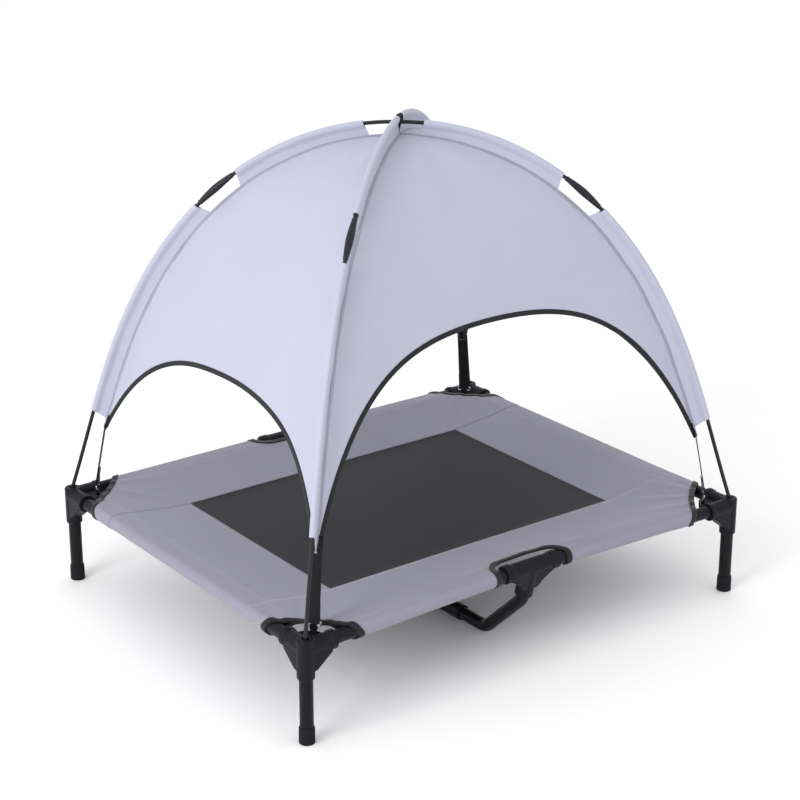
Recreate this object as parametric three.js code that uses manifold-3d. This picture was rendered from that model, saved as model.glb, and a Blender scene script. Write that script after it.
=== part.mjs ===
// Raised dog cot with a lift-off dome canopy.
// Millimetres, +Z up, +X along the long side. The origin is on the floor under the middle of the bed.
import * as THREE from 'three';
import { mergeVertices } from 'three/addons/utils/BufferGeometryUtils.js';
import { ConvexGeometry } from 'three/addons/geometries/ConvexGeometry.js';
import Module from 'manifold-3d';

const wasm = await Module();
wasm.setup();

// ---- driving dimensions -------------------------------------------------------------------------
const LENGTH = 900; // between leg axes, along X
const WIDTH = 732; // between leg axes, along Y
const TUBE_R = 11; // legs, rails and brace
const TUBE_WALL = 1.2;
const FIT = 0.3; // gap between pieces that touch
const RAIL_Z = 163; // height of the rail axes at the corners
const BOW_IN = 8; // each long rail is two tubes that meet at a tee, set in by this much
const BOW_UP = 5; // and up by this much
const DECK_TOP = 177; // top of the corner connectors

const SOCKET_R = 14.2; // moulded sockets, outside
const SOCKET_LOW = 111; // lower end of the leg socket
const ARM_END = 52; // from the leg axis to the end of a connector arm
const COLLAR_R = 15.6;
const COLLAR_WIDTH = 8;
const GUSSET_THICK = 22;
const POLE_HOLE_R = 6;
const POLE_HOLE_FLOOR = 151;
const LEG_TOP = 144; // the leg tube ends here, inside its socket
const RAIL_INSET = 18; // from a leg's axis to the end of the rail tube
const WEB_REACH = 50; // the flat web between a connector's arms
const WEB_THICK = 6;

const FOOT_R = 13;
const FOOT_HEIGHT = 28;
const FOOT_FLOOR = 4; // thickness under the tube

const TEE_HALF = 56; // half length of the tee's barrel
const BRANCH_TILT = THREE.MathUtils.degToRad(15); // the branch leans in under the bed
const BRANCH_END = 56; // from the rail axis to the mouth of the branch
const BRANCH_R = 15.2;
const BRACE_Z = 15; // axis of the brace along the floor
const BRACE_BEND_Y = 248; // where the brace turns level
const BRACE_SLEEVE_HALF = 185;
const BRACE_SLEEVE_R = 13.7;

const CLOTH = 2; // thickness of the sling and canopy solids
const SLING_R = TUBE_R + 0.4; // inside of the fabric tunnel round a rail
const MESH_HALF_X = 298;
const MESH_HALF_Y = 216;
const SHEET_RIM = 177; // the sheet leaves its tunnels level with their tops
const SAG = 19; // and its mesh hangs this much lower
const SCOOP_DEPTH = 62; // from the leg axis in to the edge of the fabric, along the diagonal
const SCOOP_OUT = 283; // the scoop is a shallow arc, struck from this far outside the corner
const TEE_CUT_HALF = 72;
const TEE_CUT_DEPTH = 25; // past the rail axis, towards the middle

const POLE_R = 3.25;
const CROWN_Z = 847; // mid height between the two poles where they cross
const CROSS_LIFT = 4; // each pole passes this far above or below that height
const SKIN_OFFSET = 25; // from a pole's axis in to the canopy
const GAP_START = 292; // the bare stretch of each half pole, measured along it from the crown
const GAP_END = 383;
const SLEEVE_LOW_END = 805;
const SLEEVE_TOP = { front_left: 12, back_right: 12, back_left: 59, front_right: 42 };
const SLEEVE_R = 6.2;
const SLEEVE_BORE_R = 4.8; // loose round the pole
const FERRULE_HALF = 38;
const FERRULE_R = 6.5;
const TIP_Z = 292; // the canopy's corner tips
const ARCH_FRONT_TOP = 565;
const ARCH_SIDE_TOP = 469;
const STRAP_WIDTH = 20;
const STRAP_THICK = 1.6;
const STRAP_LOW_Z = 184;
const STRAP_LOW_INSET = 45; // from the leg axis in to the strap's lower end
const HOOK_TOP_Z = STRAP_LOW_Z - FIT;

const HALF_DIAGONAL = Math.hypot(LENGTH, WIDTH) / 2;
const DIAGONAL_ANGLE = Math.atan2(WIDTH, LENGTH);
const QUARTER = Math.PI / 2;
const BOW_SLOPE_IN = BOW_IN / (LENGTH / 2);
const BOW_SLOPE_UP = BOW_UP / (LENGTH / 2);

// Sides of the round pieces.
const TUBE_SIDES = 16;
const MOULD_SIDES = 16;
const ROD_SIDES = 8;
const SLEEVE_SIDES = 6;
const BRACE_SIDES = 10;

// ---- materials ----------------------------------------------------------------------------------
const paint = (color, roughness, metalness) => new THREE.MeshStandardMaterial({ color, roughness, metalness });
const steelBlack = paint(0x1d1e22, 0.45, 0.6);
const mouldedBlack = paint(0x1f1f27, 0.55, 0);
const rubberBlack = paint(0x17171b, 0.8, 0);
const oxfordGrey = paint(0x9c9aac, 0.85, 0);
const meshCharcoal = paint(0x3d3d47, 0.9, 0);
const canopyGrey = paint(0xc8cadb, 0.8, 0);
const rodBlack = paint(0x15161a, 0.35, 0);
const webbingBlack = paint(0x1c1c22, 0.9, 0);

// ---- solids: joining and cutting ----------------------------------------------------------------
function solidOf(geometry) {
  const bare = geometry.index ? geometry.toNonIndexed() : geometry.clone();
  bare.deleteAttribute('normal');
  bare.deleteAttribute('uv');
  const merged = mergeVertices(bare, 1e-4);
  const vertProperties = new Float32Array(merged.attributes.position.array);
  const triVerts = new Uint32Array(merged.index.array);
  return new wasm.Manifold(new wasm.Mesh({ numProp: 3, vertProperties, triVerts }));
}

function geometryOf(solid) {
  const { vertProperties, triVerts } = solid.getMesh();
  const geometry = new THREE.BufferGeometry();
  geometry.setAttribute('position', new THREE.BufferAttribute(vertProperties, 3));
  geometry.setIndex(new THREE.BufferAttribute(triVerts, 1));
  return geometry;
}

const join = (geometries) => geometries.map(solidOf).reduce((a, b) => a.add(b));
const cut = (solid, geometries) => geometries.map(solidOf).reduce((a, b) => a.subtract(b), solid);

// A round bar from one point to another.
function bar(from, to, radius, segments = TUBE_SIDES) {
  const axis = new THREE.Vector3().subVectors(to, from);
  const geometry = new THREE.CylinderGeometry(radius, radius, axis.length(), segments);
  geometry.rotateY(Math.PI / segments);
  const turn = new THREE.Quaternion().setFromUnitVectors(new THREE.Vector3(0, 1, 0), axis.clone().normalize());
  const middle = new THREE.Vector3().addVectors(from, to).multiplyScalar(0.5);
  return geometry.applyQuaternion(turn).translate(middle.x, middle.y, middle.z);
}

const at = (x, y, z) => new THREE.Vector3(x, y, z);

// A circle's path takes two sides for each of its curve segments.
function ringShape(radius, bore) {
  const ring = new THREE.Shape().absarc(0, 0, radius, 0, 2 * Math.PI);
  ring.holes.push(new THREE.Path().absarc(0, 0, bore, 0, 2 * Math.PI));
  return ring;
}

// A hollow straight tube along +Z from z = 0.
function tubeGeometry(length, radius, bore) {
  const options = { depth: length, bevelEnabled: false, curveSegments: TUBE_SIDES / 2 };
  return new THREE.ExtrudeGeometry(ringShape(radius, bore), options);
}

function plate(points, thickness) {
  const shape = new THREE.Shape(points.map(([x, y]) => new THREE.Vector2(x, y)));
  const geometry = new THREE.ExtrudeGeometry(shape, { depth: thickness, bevelEnabled: false });
  return geometry.translate(0, 0, -thickness / 2);
}

function named(name, geometry, material) {
  const mesh = new THREE.Mesh(geometry, material);
  mesh.name = name;
  return mesh;
}

// ---- legs and corners ---------------------------------------------------------------------------
// Each corner is drawn with its arms along +X and +Y, and turned a quarter at a time.
const corners = [
  { name: 'front_left', x: -1, y: -1, turn: 0 },
  { name: 'front_right', x: 1, y: -1, turn: QUARTER },
  { name: 'back_right', x: 1, y: 1, turn: 2 * QUARTER },
  { name: 'back_left', x: -1, y: 1, turn: 3 * QUARTER },
];

function legTube(name) {
  const foot = FOOT_FLOOR + FIT;
  const mesh = named(`leg_tube_${name}`, tubeGeometry(LEG_TOP - foot, TUBE_R, TUBE_R - TUBE_WALL), steelBlack);
  mesh.position.z = foot;
  return mesh;
}

function footCap(name) {
  const bore = TUBE_R + FIT;
  const profile = [
    [0, 0], [FOOT_R - 1.5, 0], [FOOT_R, 1.5], [FOOT_R - 0.4, FOOT_HEIGHT - 1], [FOOT_R - 1.2, FOOT_HEIGHT],
    [bore, FOOT_HEIGHT], [bore, FOOT_FLOOR], [0, FOOT_FLOOR],
  ].map(([r, z]) => new THREE.Vector2(r, z));
  const geometry = new THREE.LatheGeometry(profile, TUBE_SIDES).rotateX(QUARTER);
  return named(`foot_cap_${name}`, geometryOf(solidOf(geometry)), rubberBlack);
}

// The arm reaches along +X; the caller turns it.
function connectorArm() {
  const tip = at(ARM_END, 0, RAIL_Z);
  const collar = at(ARM_END - COLLAR_WIDTH, 0, RAIL_Z);
  const gussetLow = SOCKET_LOW + 15;
  const gusset = plate([
    [0, RAIL_Z], [0, gussetLow], [SOCKET_R, gussetLow], [ARM_END - COLLAR_WIDTH, RAIL_Z - 13],
    [ARM_END - COLLAR_WIDTH, RAIL_Z],
  ], GUSSET_THICK).rotateX(QUARTER);
  return [bar(at(0, 0, RAIL_Z), tip, SOCKET_R - 0.2, MOULD_SIDES), bar(collar, tip, COLLAR_R, MOULD_SIDES), gusset];
}

// The bores for the two rails. The long rail leans towards the short one, and rises.
function railBores(longAlongX) {
  const bore = TUBE_R + FIT;
  const long = [RAIL_INSET - 1, ARM_END + 1].map((d) => {
    const across = d * BOW_SLOPE_IN;
    const z = RAIL_Z + d * BOW_SLOPE_UP;
    return longAlongX ? at(d, across, z) : at(across, d, z);
  });
  const short = [RAIL_INSET - 1, ARM_END + 1].map((d) => (longAlongX ? at(0, d, RAIL_Z) : at(d, 0, RAIL_Z)));
  return [bar(...long, bore), bar(...short, bore)];
}

function cornerConnector(name, strapAngle, longAlongX) {
  const lip = 3;
  const post = new THREE.LatheGeometry([
    [0, SOCKET_LOW], [SOCKET_R - 0.8, SOCKET_LOW], [SOCKET_R, SOCKET_LOW + 1.5], [SOCKET_R, DECK_TOP - lip],
    [SOCKET_R - 1.6, DECK_TOP], [0, DECK_TOP],
  ].map(([r, z]) => new THREE.Vector2(r, z)), MOULD_SIDES).rotateX(QUARTER);
  const web = plate([[0, 0], [WEB_REACH, 0], [44, 30], [30, 44], [0, WEB_REACH]], WEB_THICK)
    .translate(0, 0, RAIL_Z);
  const arms = [...connectorArm(), ...connectorArm().map((piece) => piece.rotateZ(QUARTER))];
  const body = join([post, web, ...arms]);
  const slot = new THREE.BoxGeometry(6, 13, 20).rotateZ(strapAngle)
    .translate(STRAP_LOW_INSET * Math.cos(strapAngle), STRAP_LOW_INSET * Math.sin(strapAngle), RAIL_Z);
  const solid = cut(body, [
    bar(at(0, 0, SOCKET_LOW - 1), at(0, 0, LEG_TOP + 1), TUBE_R + FIT),
    bar(at(0, 0, POLE_HOLE_FLOOR), at(0, 0, DECK_TOP + 1), POLE_HOLE_R, 12),
    ...railBores(longAlongX),
    slot,
  ]);
  return named(`corner_connector_${name}`, geometryOf(solid), mouldedBlack);
}

function cornerGroup({ name, x, y, turn }) {
  const group = new THREE.Group();
  group.position.set((x * LENGTH) / 2, (y * WIDTH) / 2, 0);
  group.rotation.z = turn;
  const inward = Math.atan2(-y * WIDTH, -x * LENGTH) - turn;
  group.add(legTube(name), footCap(name), cornerConnector(name, inward, x === y));
  return group;
}

// ---- rails, tees and brace ----------------------------------------------------------------------
function rail(name, from, to) {
  const length = from.distanceTo(to);
  const mesh = named(`rail_${name}`, tubeGeometry(length, TUBE_R, TUBE_R - TUBE_WALL), steelBlack);
  mesh.position.copy(from);
  mesh.quaternion.setFromUnitVectors(at(0, 0, 1), new THREE.Vector3().subVectors(to, from).normalize());
  return mesh;
}

// A point on the axis of a long rail, on the front (-1) or the back (1).
function longRailAt(x, side) {
  const inward = LENGTH / 2 - Math.abs(x);
  return at(x, side * (WIDTH / 2 - inward * BOW_SLOPE_IN), RAIL_Z + inward * BOW_SLOPE_UP);
}

function rails() {
  const endX = LENGTH / 2 - RAIL_INSET;
  const endY = WIDTH / 2 - RAIL_INSET;
  const meet = 4; // the two halves stop this far from the middle of the tee
  const list = [
    rail('side_left', at(-LENGTH / 2, -endY, RAIL_Z), at(-LENGTH / 2, endY, RAIL_Z)),
    rail('side_right', at(LENGTH / 2, -endY, RAIL_Z), at(LENGTH / 2, endY, RAIL_Z)),
  ];
  for (const [name, side] of [['front', -1], ['back', 1]]) {
    list.push(rail(`${name}_left`, longRailAt(-endX, side), longRailAt(-meet, side)));
    list.push(rail(`${name}_right`, longRailAt(meet, side), longRailAt(endX, side)));
  }
  return list;
}

// Drawn at the origin with its barrel along X and its branch leaning towards +Y.
function teeConnector(side) {
  const along = at(0, Math.sin(BRANCH_TILT), -Math.cos(BRANCH_TILT));
  const down = (distance) => along.clone().multiplyScalar(distance);
  const barrel = bar(at(-TEE_HALF, 0, 0), at(TEE_HALF, 0, 0), SOCKET_R - 0.2, MOULD_SIDES);
  const collars = [-1, 1].map((end) => (
    bar(at(end * (TEE_HALF - COLLAR_WIDTH), 0, 0), at(end * TEE_HALF, 0, 0), COLLAR_R, MOULD_SIDES)));
  const branch = bar(at(0, 0, 0), down(BRANCH_END), BRANCH_R, MOULD_SIDES);
  const gusset = plate([
    [-46, 0], [-44, -11], [-BRANCH_R, -36], [BRANCH_R, -36], [44, -11], [46, 0],
  ], GUSSET_THICK).rotateX(QUARTER).rotateX(BRANCH_TILT);
  const bore = TUBE_R + FIT;
  const reach = TEE_HALF + 1;
  const tubes = [-1, 1].map((end) => (
    bar(at(-end, 0, 0), at(end * reach, -reach * BOW_SLOPE_IN, -reach * BOW_SLOPE_UP), bore)));
  const solid = cut(join([barrel, ...collars, branch, gusset]), [
    ...tubes,
    bar(down(18), down(BRANCH_END + 1), bore),
  ]);
  return named(`tee_connector_${side}`, geometryOf(solid), mouldedBlack);
}

// The brace leaves the branch, slants in under the bed, and turns level just above the floor.
function braceTube(side) {
  const drop = RAIL_Z + BOW_UP - BRACE_Z;
  const reach = WIDTH / 2 - BOW_IN - BRACE_BEND_Y;
  const down = (distance) => at(0, distance * Math.sin(BRANCH_TILT), -distance * Math.cos(BRANCH_TILT));
  const top = down(21);
  const mouth = down(BRANCH_END + 3);
  const elbow = down(BRANCH_END + 11);
  const bend = at(0, reach, -drop);
  const slant = new THREE.Vector3().subVectors(bend, elbow).normalize();
  const path = new THREE.CurvePath();
  const afterElbow = elbow.clone().addScaledVector(slant, 10);
  const beforeBend = bend.clone().addScaledVector(slant, -26);
  const afterBend = at(0, reach + 26, -drop);
  const end = at(0, WIDTH / 2 - BOW_IN - BRACE_SLEEVE_HALF + 22, -drop);
  path.add(new THREE.LineCurve3(top, mouth));
  path.add(new THREE.QuadraticBezierCurve3(mouth, elbow, afterElbow));
  path.add(new THREE.LineCurve3(afterElbow, beforeBend));
  path.add(new THREE.QuadraticBezierCurve3(beforeBend, bend, afterBend));
  path.add(new THREE.LineCurve3(afterBend, end));
  const options = { steps: 20, curveSegments: BRACE_SIDES / 2, extrudePath: path };
  const geometry = new THREE.ExtrudeGeometry(ringShape(TUBE_R, TUBE_R - TUBE_WALL), options);
  return named(`brace_tube_${side}`, geometry, steelBlack);
}

function braceHalf(side, turn) {
  const half = new THREE.Group();
  half.rotation.z = turn;
  const hung = new THREE.Group();
  hung.position.copy(longRailAt(0, -1));
  hung.add(teeConnector(side), braceTube(side));
  half.add(hung);
  return half;
}

function braceSleeve() {
  const mesh = named('brace_sleeve', tubeGeometry(2 * BRACE_SLEEVE_HALF, BRACE_SLEEVE_R, TUBE_R + FIT), steelBlack);
  mesh.rotation.x = QUARTER;
  mesh.position.set(0, BRACE_SLEEVE_HALF, BRACE_Z);
  return mesh;
}

// ---- sling --------------------------------------------------------------------------------------
// Everything above a shallow basin: level at the mesh, and rising to the rails. Each half is its own hull,
// because the long rails bow.
function aboveBasin(shift) {
  const lift = SHEET_RIM - RAIL_Z + shift;
  const halves = [-1, 1].map((end) => {
    const points = [];
    for (const side of [-1, 1]) {
      for (const x of [0, (end * LENGTH) / 2]) {
        const rail = longRailAt(x, side);
        points.push(at(x, rail.y, rail.z + lift), at(x, rail.y, 300));
      }
      for (const x of [0, end * MESH_HALF_X]) points.push(at(x, side * MESH_HALF_Y, SHEET_RIM - SAG + shift));
    }
    return new ConvexGeometry(points);
  });
  return join(halves);
}

// The tunnels round the rails, as solid bars of the given radius.
function railBars(radius) {
  const x = LENGTH / 2;
  const y = WIDTH / 2;
  const ends = [[at(-x, -y, RAIL_Z), at(-x, y, RAIL_Z)], [at(x, -y, RAIL_Z), at(x, y, RAIL_Z)]];
  for (const side of [-1, 1]) {
    for (const end of [-x, x]) ends.push([longRailAt(end, side), longRailAt(0, side)]);
  }
  return ends.map(([from, to]) => bar(from, to, radius));
}

// The openings in the fabric: a shallow scoop across each corner and a slot over each tee.
function slingCuts() {
  const cuts = corners.map(({ x, y }) => {
    const out = SCOOP_OUT / Math.SQRT2;
    const centre = [x * (LENGTH / 2 + out), y * (WIDTH / 2 + out)];
    return bar(at(...centre, 100), at(...centre, 250), SCOOP_OUT + SCOOP_DEPTH, 96);
  });
  const outside = 30;
  const slot = new THREE.Shape();
  slot.moveTo(-TEE_CUT_HALF, -outside);
  slot.lineTo(TEE_CUT_HALF, -outside);
  slot.lineTo(TEE_CUT_HALF, -4);
  slot.quadraticCurveTo(TEE_CUT_HALF - 6, TEE_CUT_DEPTH - 3, TEE_CUT_HALF - 34, TEE_CUT_DEPTH);
  slot.lineTo(34 - TEE_CUT_HALF, TEE_CUT_DEPTH);
  slot.quadraticCurveTo(6 - TEE_CUT_HALF, TEE_CUT_DEPTH - 3, -TEE_CUT_HALF, -4);
  for (const turn of [0, Math.PI]) {
    const geometry = new THREE.ExtrudeGeometry(slot, { depth: 150, bevelEnabled: false, curveSegments: 5 });
    cuts.push(geometry.translate(0, longRailAt(0, -1).y, 100).rotateZ(turn));
  }
  return cuts;
}

const block = (x0, x1, y0, y1) => new THREE.BoxGeometry(x1 - x0, y1 - y0, 300)
  .translate((x0 + x1) / 2, (y0 + y1) / 2, 150);

function slingPanels() {
  const tunnels = join(railBars(SLING_R + CLOTH));
  const sheet = aboveBasin(-CLOTH).subtract(aboveBasin(0));
  const walls = cut(sheet.add(tunnels), [...railBars(SLING_R), ...slingCuts()]);
  const g = FIT / 2;
  const farX = LENGTH;
  const farY = WIDTH;
  const take = (name, box, material) => named(name, geometryOf(walls.intersect(solidOf(box))), material);
  return [
    take('sling_mesh_centre', block(-MESH_HALF_X + g, MESH_HALF_X - g, -MESH_HALF_Y + g, MESH_HALF_Y - g),
      meshCharcoal),
    take('sling_border_front', block(-farX, farX, -farY, -MESH_HALF_Y - g), oxfordGrey),
    take('sling_border_back', block(-farX, farX, MESH_HALF_Y + g, farY), oxfordGrey),
    take('sling_border_left', block(-farX, -MESH_HALF_X - g, -MESH_HALF_Y + g, MESH_HALF_Y - g), oxfordGrey),
    take('sling_border_right', block(MESH_HALF_X + g, farX, -MESH_HALF_Y + g, MESH_HALF_Y - g), oxfordGrey),
  ];
}

// ---- canopy poles -------------------------------------------------------------------------------
// A flexed rod: its slope grows along its length, fastest at the crown. It is drawn in the XZ plane from the
// crown out, scaled to reach the leg axis at the top of the connector.
const POLE_STEPS = 48;
const poleLine = (() => {
  const line = [[0, 0]];
  for (let i = 0; i < POLE_STEPS; i += 1) {
    const t = (i + 0.5) / POLE_STEPS;
    const slope = 2.145 * t - 0.9 * t ** 3;
    const [x, z] = line[i];
    line.push([x + Math.cos(slope), z - Math.sin(slope)]);
  }
  const [endX, endZ] = line[POLE_STEPS];
  const scaleX = HALF_DIAGONAL / endX;
  const scaleZ = (CROWN_Z - DECK_TOP) / -endZ;
  return line.map(([x, z]) => [x * scaleX, CROWN_Z + z * scaleZ]);
})();

// The half pole as a curve, lifted near the crown so that one pole passes over the other.
function poleCurve(lift, offset = 0) {
  const points = poleLine.map(([x, z], i) => {
    const [x0, z0] = poleLine[Math.max(i - 1, 0)];
    const [x1, z1] = poleLine[Math.min(i + 1, POLE_STEPS)];
    const run = Math.hypot(x1 - x0, z1 - z0);
    const raised = z + lift * (1 - x / HALF_DIAGONAL) ** 2;
    return at(x - (offset * (z0 - z1)) / run, 0, raised - (offset * (x1 - x0)) / run);
  });
  return new THREE.CatmullRomCurve3(points);
}

// A stretch of a curve, between two distances along it, with a point every few millimetres.
function stretch(curve, from, to, spacing = 38) {
  const total = curve.getLength();
  const count = Math.max(2, Math.round((to - from) / spacing));
  const points = [];
  for (let i = 0; i <= count; i += 1) points.push(curve.getPointAt((from + ((to - from) * i) / count) / total));
  return points;
}

function along(points, shape, sides) {
  const extrudePath = new THREE.CatmullRomCurve3(points);
  const options = { steps: points.length - 1, curveSegments: sides / 2, extrudePath };
  return new THREE.ExtrudeGeometry(shape, options);
}

function rodShape(radius) {
  return new THREE.Shape().absarc(0, 0, radius, 0, 2 * Math.PI);
}

const ferruleMiddle = (GAP_START + GAP_END) / 2;

function rodPoints(lift, from, to) {
  const curve = poleCurve(lift);
  const length = curve.getLength();
  const spacing = 30;
  const points = stretch(curve, from, Math.min(to, length - 8), spacing);
  if (to > length) points.push(at(HALF_DIAGONAL, 0, DECK_TOP - 4), at(HALF_DIAGONAL, 0, POLE_HOLE_FLOOR + 2));
  return points;
}

const ROD_SPLIT = 10; // each rod stops this far from the middle of its ferrule

function lowerRod(lift) {
  const points = rodPoints(lift, ferruleMiddle + ROD_SPLIT, Infinity);
  return along(points, rodShape(POLE_R), ROD_SIDES);
}

// The middle rod runs over the crown from one ferrule to the other.
function middleRod(lift) {
  const half = rodPoints(lift, 0, ferruleMiddle - ROD_SPLIT);
  const other = half.slice(1).reverse().map((p) => at(-p.x, 0, p.z));
  const points = [...other, ...half];
  return along(points, rodShape(POLE_R), ROD_SIDES);
}

// A spindle over the joint between two rods, bored for both.
function ferrule(lift) {
  const curve = poleCurve(lift);
  const [from, to] = [-1, 1].map((end) => curve.getPointAt((ferruleMiddle + end * FERRULE_HALF) / curve.getLength()));
  const axis = new THREE.Vector3().subVectors(to, from);
  const half = axis.length() / 2;
  const profile = [
    [0, -half], [4.6, -half], [5.2, -half * 0.7], [FERRULE_R, -half * 0.15], [FERRULE_R, half * 0.15],
    [5.2, half * 0.7], [4.6, half], [0, half],
  ].map(([r, y]) => new THREE.Vector2(r, y));
  const turn = new THREE.Quaternion().setFromUnitVectors(at(0, 1, 0), axis.clone().normalize());
  const middle = new THREE.Vector3().addVectors(from, to).multiplyScalar(0.5);
  const body = new THREE.LatheGeometry(profile, 12).applyQuaternion(turn).translate(middle.x, middle.y, middle.z);
  const bores = [-1, 1].map((end) => {
    const [inside, outside] = [ROD_SPLIT - FIT, FERRULE_HALF + 3].map((distance) => (
      curve.getPointAt((ferruleMiddle + end * distance) / curve.getLength())));
    return bar(inside, outside, POLE_R + 0.9, ROD_SIDES);
  });
  return geometryOf(cut(solidOf(body), bores));
}

// A fabric tunnel round the pole with a flat web in to the canopy.
function sleeve(lift, from, to) {
  const web = SKIN_OFFSET - 1 + Math.min(0, lift);
  const half = CLOTH / 2;
  const corner = Math.acos(half / SLEEVE_R);
  const shape = new THREE.Shape();
  shape.moveTo(half, web);
  shape.lineTo(-half, web);
  shape.absarc(0, 0, SLEEVE_R, Math.PI - corner, corner);
  shape.holes.push(new THREE.Path().absarc(0, 0, SLEEVE_BORE_R, 0, 2 * Math.PI));
  const points = stretch(poleCurve(lift), from, to);
  return along(points, shape, SLEEVE_SIDES);
}

// ---- canopy skin --------------------------------------------------------------------------------
const seamPoints = poleCurve(0, SKIN_OFFSET).getPoints(26);

// A panel is drawn facing +X: a strip with the seam's profile, as long as the bed's side, cut to a wedge in
// plan and then opened by its arch.
function canopyPanel(depth, span, archTop) {
  const ratio = depth / (2 * HALF_DIAGONAL);
  const outer = seamPoints.map((p) => new THREE.Vector2(p.x * ratio, p.z));
  const inner = outer.map((p, i) => {
    const a = outer[Math.max(i - 1, 0)];
    const b = outer[Math.min(i + 1, outer.length - 1)];
    const run = a.distanceTo(b);
    return new THREE.Vector2(p.x - (CLOTH * (a.y - b.y)) / run, p.y - (CLOTH * (b.x - a.x)) / run);
  });
  const strip = new THREE.ExtrudeGeometry(new THREE.Shape([...outer, ...inner.reverse()]),
    { depth: span, bevelEnabled: false }).rotateX(QUARTER).translate(0, span / 2, 0);
  const slope = span / depth;
  const seamGap = 0.4;
  const apex = 4; // leaves a small opening at the crown
  const far = 500;
  const tall = 2000;
  const wedge = plate([
    [apex, -(apex - seamGap) * slope], [far, -(far - seamGap) * slope],
    [far, (far - seamGap) * slope], [apex, (apex - seamGap) * slope],
  ], tall);
  const skin = solidOf(strip).intersect(solidOf(wedge));
  return geometryOf(skin.subtract(solidOf(archCut(ratio, slope, archTop))));
}

// The arch, wide open below the corner tips.
function archCut(ratio, slope, top) {
  const tip = seamPoints.reduce((a, b) => (Math.abs(a.z - TIP_Z) < Math.abs(b.z - TIP_Z) ? a : b));
  const foot = tip.x * ratio * slope - 7;
  const wide = 600;
  const shape = new THREE.Shape();
  shape.moveTo(-wide, 0);
  shape.lineTo(wide, 0);
  shape.lineTo(wide, TIP_Z);
  shape.lineTo(foot, TIP_Z);
  shape.bezierCurveTo(foot * 0.76, TIP_Z + (top - TIP_Z) * 0.81, foot * 0.48, top, 0, top);
  shape.bezierCurveTo(-foot * 0.48, top, -foot * 0.76, TIP_Z + (top - TIP_Z) * 0.81, -foot, TIP_Z);
  shape.lineTo(-wide, TIP_Z);
  const geometry = new THREE.ExtrudeGeometry(shape, { depth: 700, bevelEnabled: false, curveSegments: 12 });
  return geometry.applyMatrix4(new THREE.Matrix4().makeBasis(at(0, 1, 0), at(0, 0, 1), at(1, 0, 0)));
}

// ---- straps, hooks and crown tie ----------------------------------------------------------------
const strapTop = seamPoints.reduce((a, b) => (Math.abs(a.z - TIP_Z) < Math.abs(b.z - TIP_Z) ? a : b)).x - 2;
const strapFoot = HALF_DIAGONAL - STRAP_LOW_INSET;

function cornerStrap(name) {
  const rise = TIP_Z - FIT - STRAP_LOW_Z;
  const run = strapFoot - strapTop;
  const geometry = new THREE.BoxGeometry(STRAP_THICK, STRAP_WIDTH, Math.hypot(rise, run));
  const mesh = named(`corner_strap_${name}`, geometry, webbingBlack);
  mesh.position.set((strapTop + strapFoot) / 2, 0, STRAP_LOW_Z + rise / 2);
  mesh.rotation.y = -Math.atan2(run, rise);
  return mesh;
}

function strapHook(name) {
  const head = new THREE.BoxGeometry(5, 24, 6).translate(0, 0, -3);
  const shank = new THREE.BoxGeometry(3.4, 10, 30).translate(0, 0, -18);
  const mesh = named(`strap_hook_${name}`, geometryOf(join([head, shank])), mouldedBlack);
  mesh.position.set(strapFoot, 0, HOOK_TOP_Z);
  return mesh;
}

function crossingTie() {
  const skinTop = CROWN_Z - SKIN_OFFSET;
  const under = CROWN_Z - CROSS_LIFT - POLE_R - FIT;
  const height = under - skinTop + 4;
  const geometry = new THREE.CylinderGeometry(2.2, 2.2, height, 10).rotateX(QUARTER);
  const mesh = named('crossing_tie', geometry, webbingBlack);
  mesh.position.z = under - height / 2;
  return mesh;
}

// ---- assembly -----------------------------------------------------------------------------------
function halfPole({ name, x, y }) {
  const polarA = x === y;
  const lift = polarA ? CROSS_LIFT : -CROSS_LIFT;
  const arm = new THREE.Group();
  arm.rotation.z = Math.atan2(y * WIDTH, x * LENGTH);
  arm.add(
    named(`pole_${polarA ? 'a' : 'b'}_lower_${name}`, lowerRod(lift), rodBlack),
    named(`pole_ferrule_${name}`, ferrule(lift), rodBlack),
    named(`pole_sleeve_upper_${name}`, sleeve(lift, SLEEVE_TOP[name], GAP_START), canopyGrey),
    named(`pole_sleeve_lower_${name}`, sleeve(lift, GAP_END, SLEEVE_LOW_END), canopyGrey),
    cornerStrap(name),
    strapHook(name),
  );
  return arm;
}

function middlePole(letter, lift, angle) {
  const mesh = named(`pole_${letter}_middle`, middleRod(lift), rodBlack);
  mesh.rotation.z = angle;
  return mesh;
}

function canopySkin() {
  const sides = [
    ['right', 0, LENGTH, WIDTH, ARCH_SIDE_TOP],
    ['back', 1, WIDTH, LENGTH, ARCH_FRONT_TOP],
    ['left', 2, LENGTH, WIDTH, ARCH_SIDE_TOP],
    ['front', 3, WIDTH, LENGTH, ARCH_FRONT_TOP],
  ];
  return sides.map(([name, quarters, depth, span, top]) => {
    const mesh = named(`canopy_panel_${name}`, canopyPanel(depth, span, top), canopyGrey);
    mesh.rotation.z = quarters * QUARTER;
    return mesh;
  });
}

const bed = new THREE.Group();
bed.add(...corners.map(cornerGroup), ...rails());
bed.add(braceHalf('front', 0), braceHalf('back', Math.PI), braceSleeve());
bed.add(...slingPanels());
bed.add(...corners.map(halfPole), middlePole('a', CROSS_LIFT, DIAGONAL_ANGLE));
bed.add(middlePole('b', -CROSS_LIFT, -DIAGONAL_ANGLE));
bed.add(...canopySkin(), crossingTie());

export default bed;
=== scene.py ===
import math

import bmesh
import bpy
import numpy as np
from mathutils import Matrix, Vector
from mathutils.geometry import delaunay_2d_cdt


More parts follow.
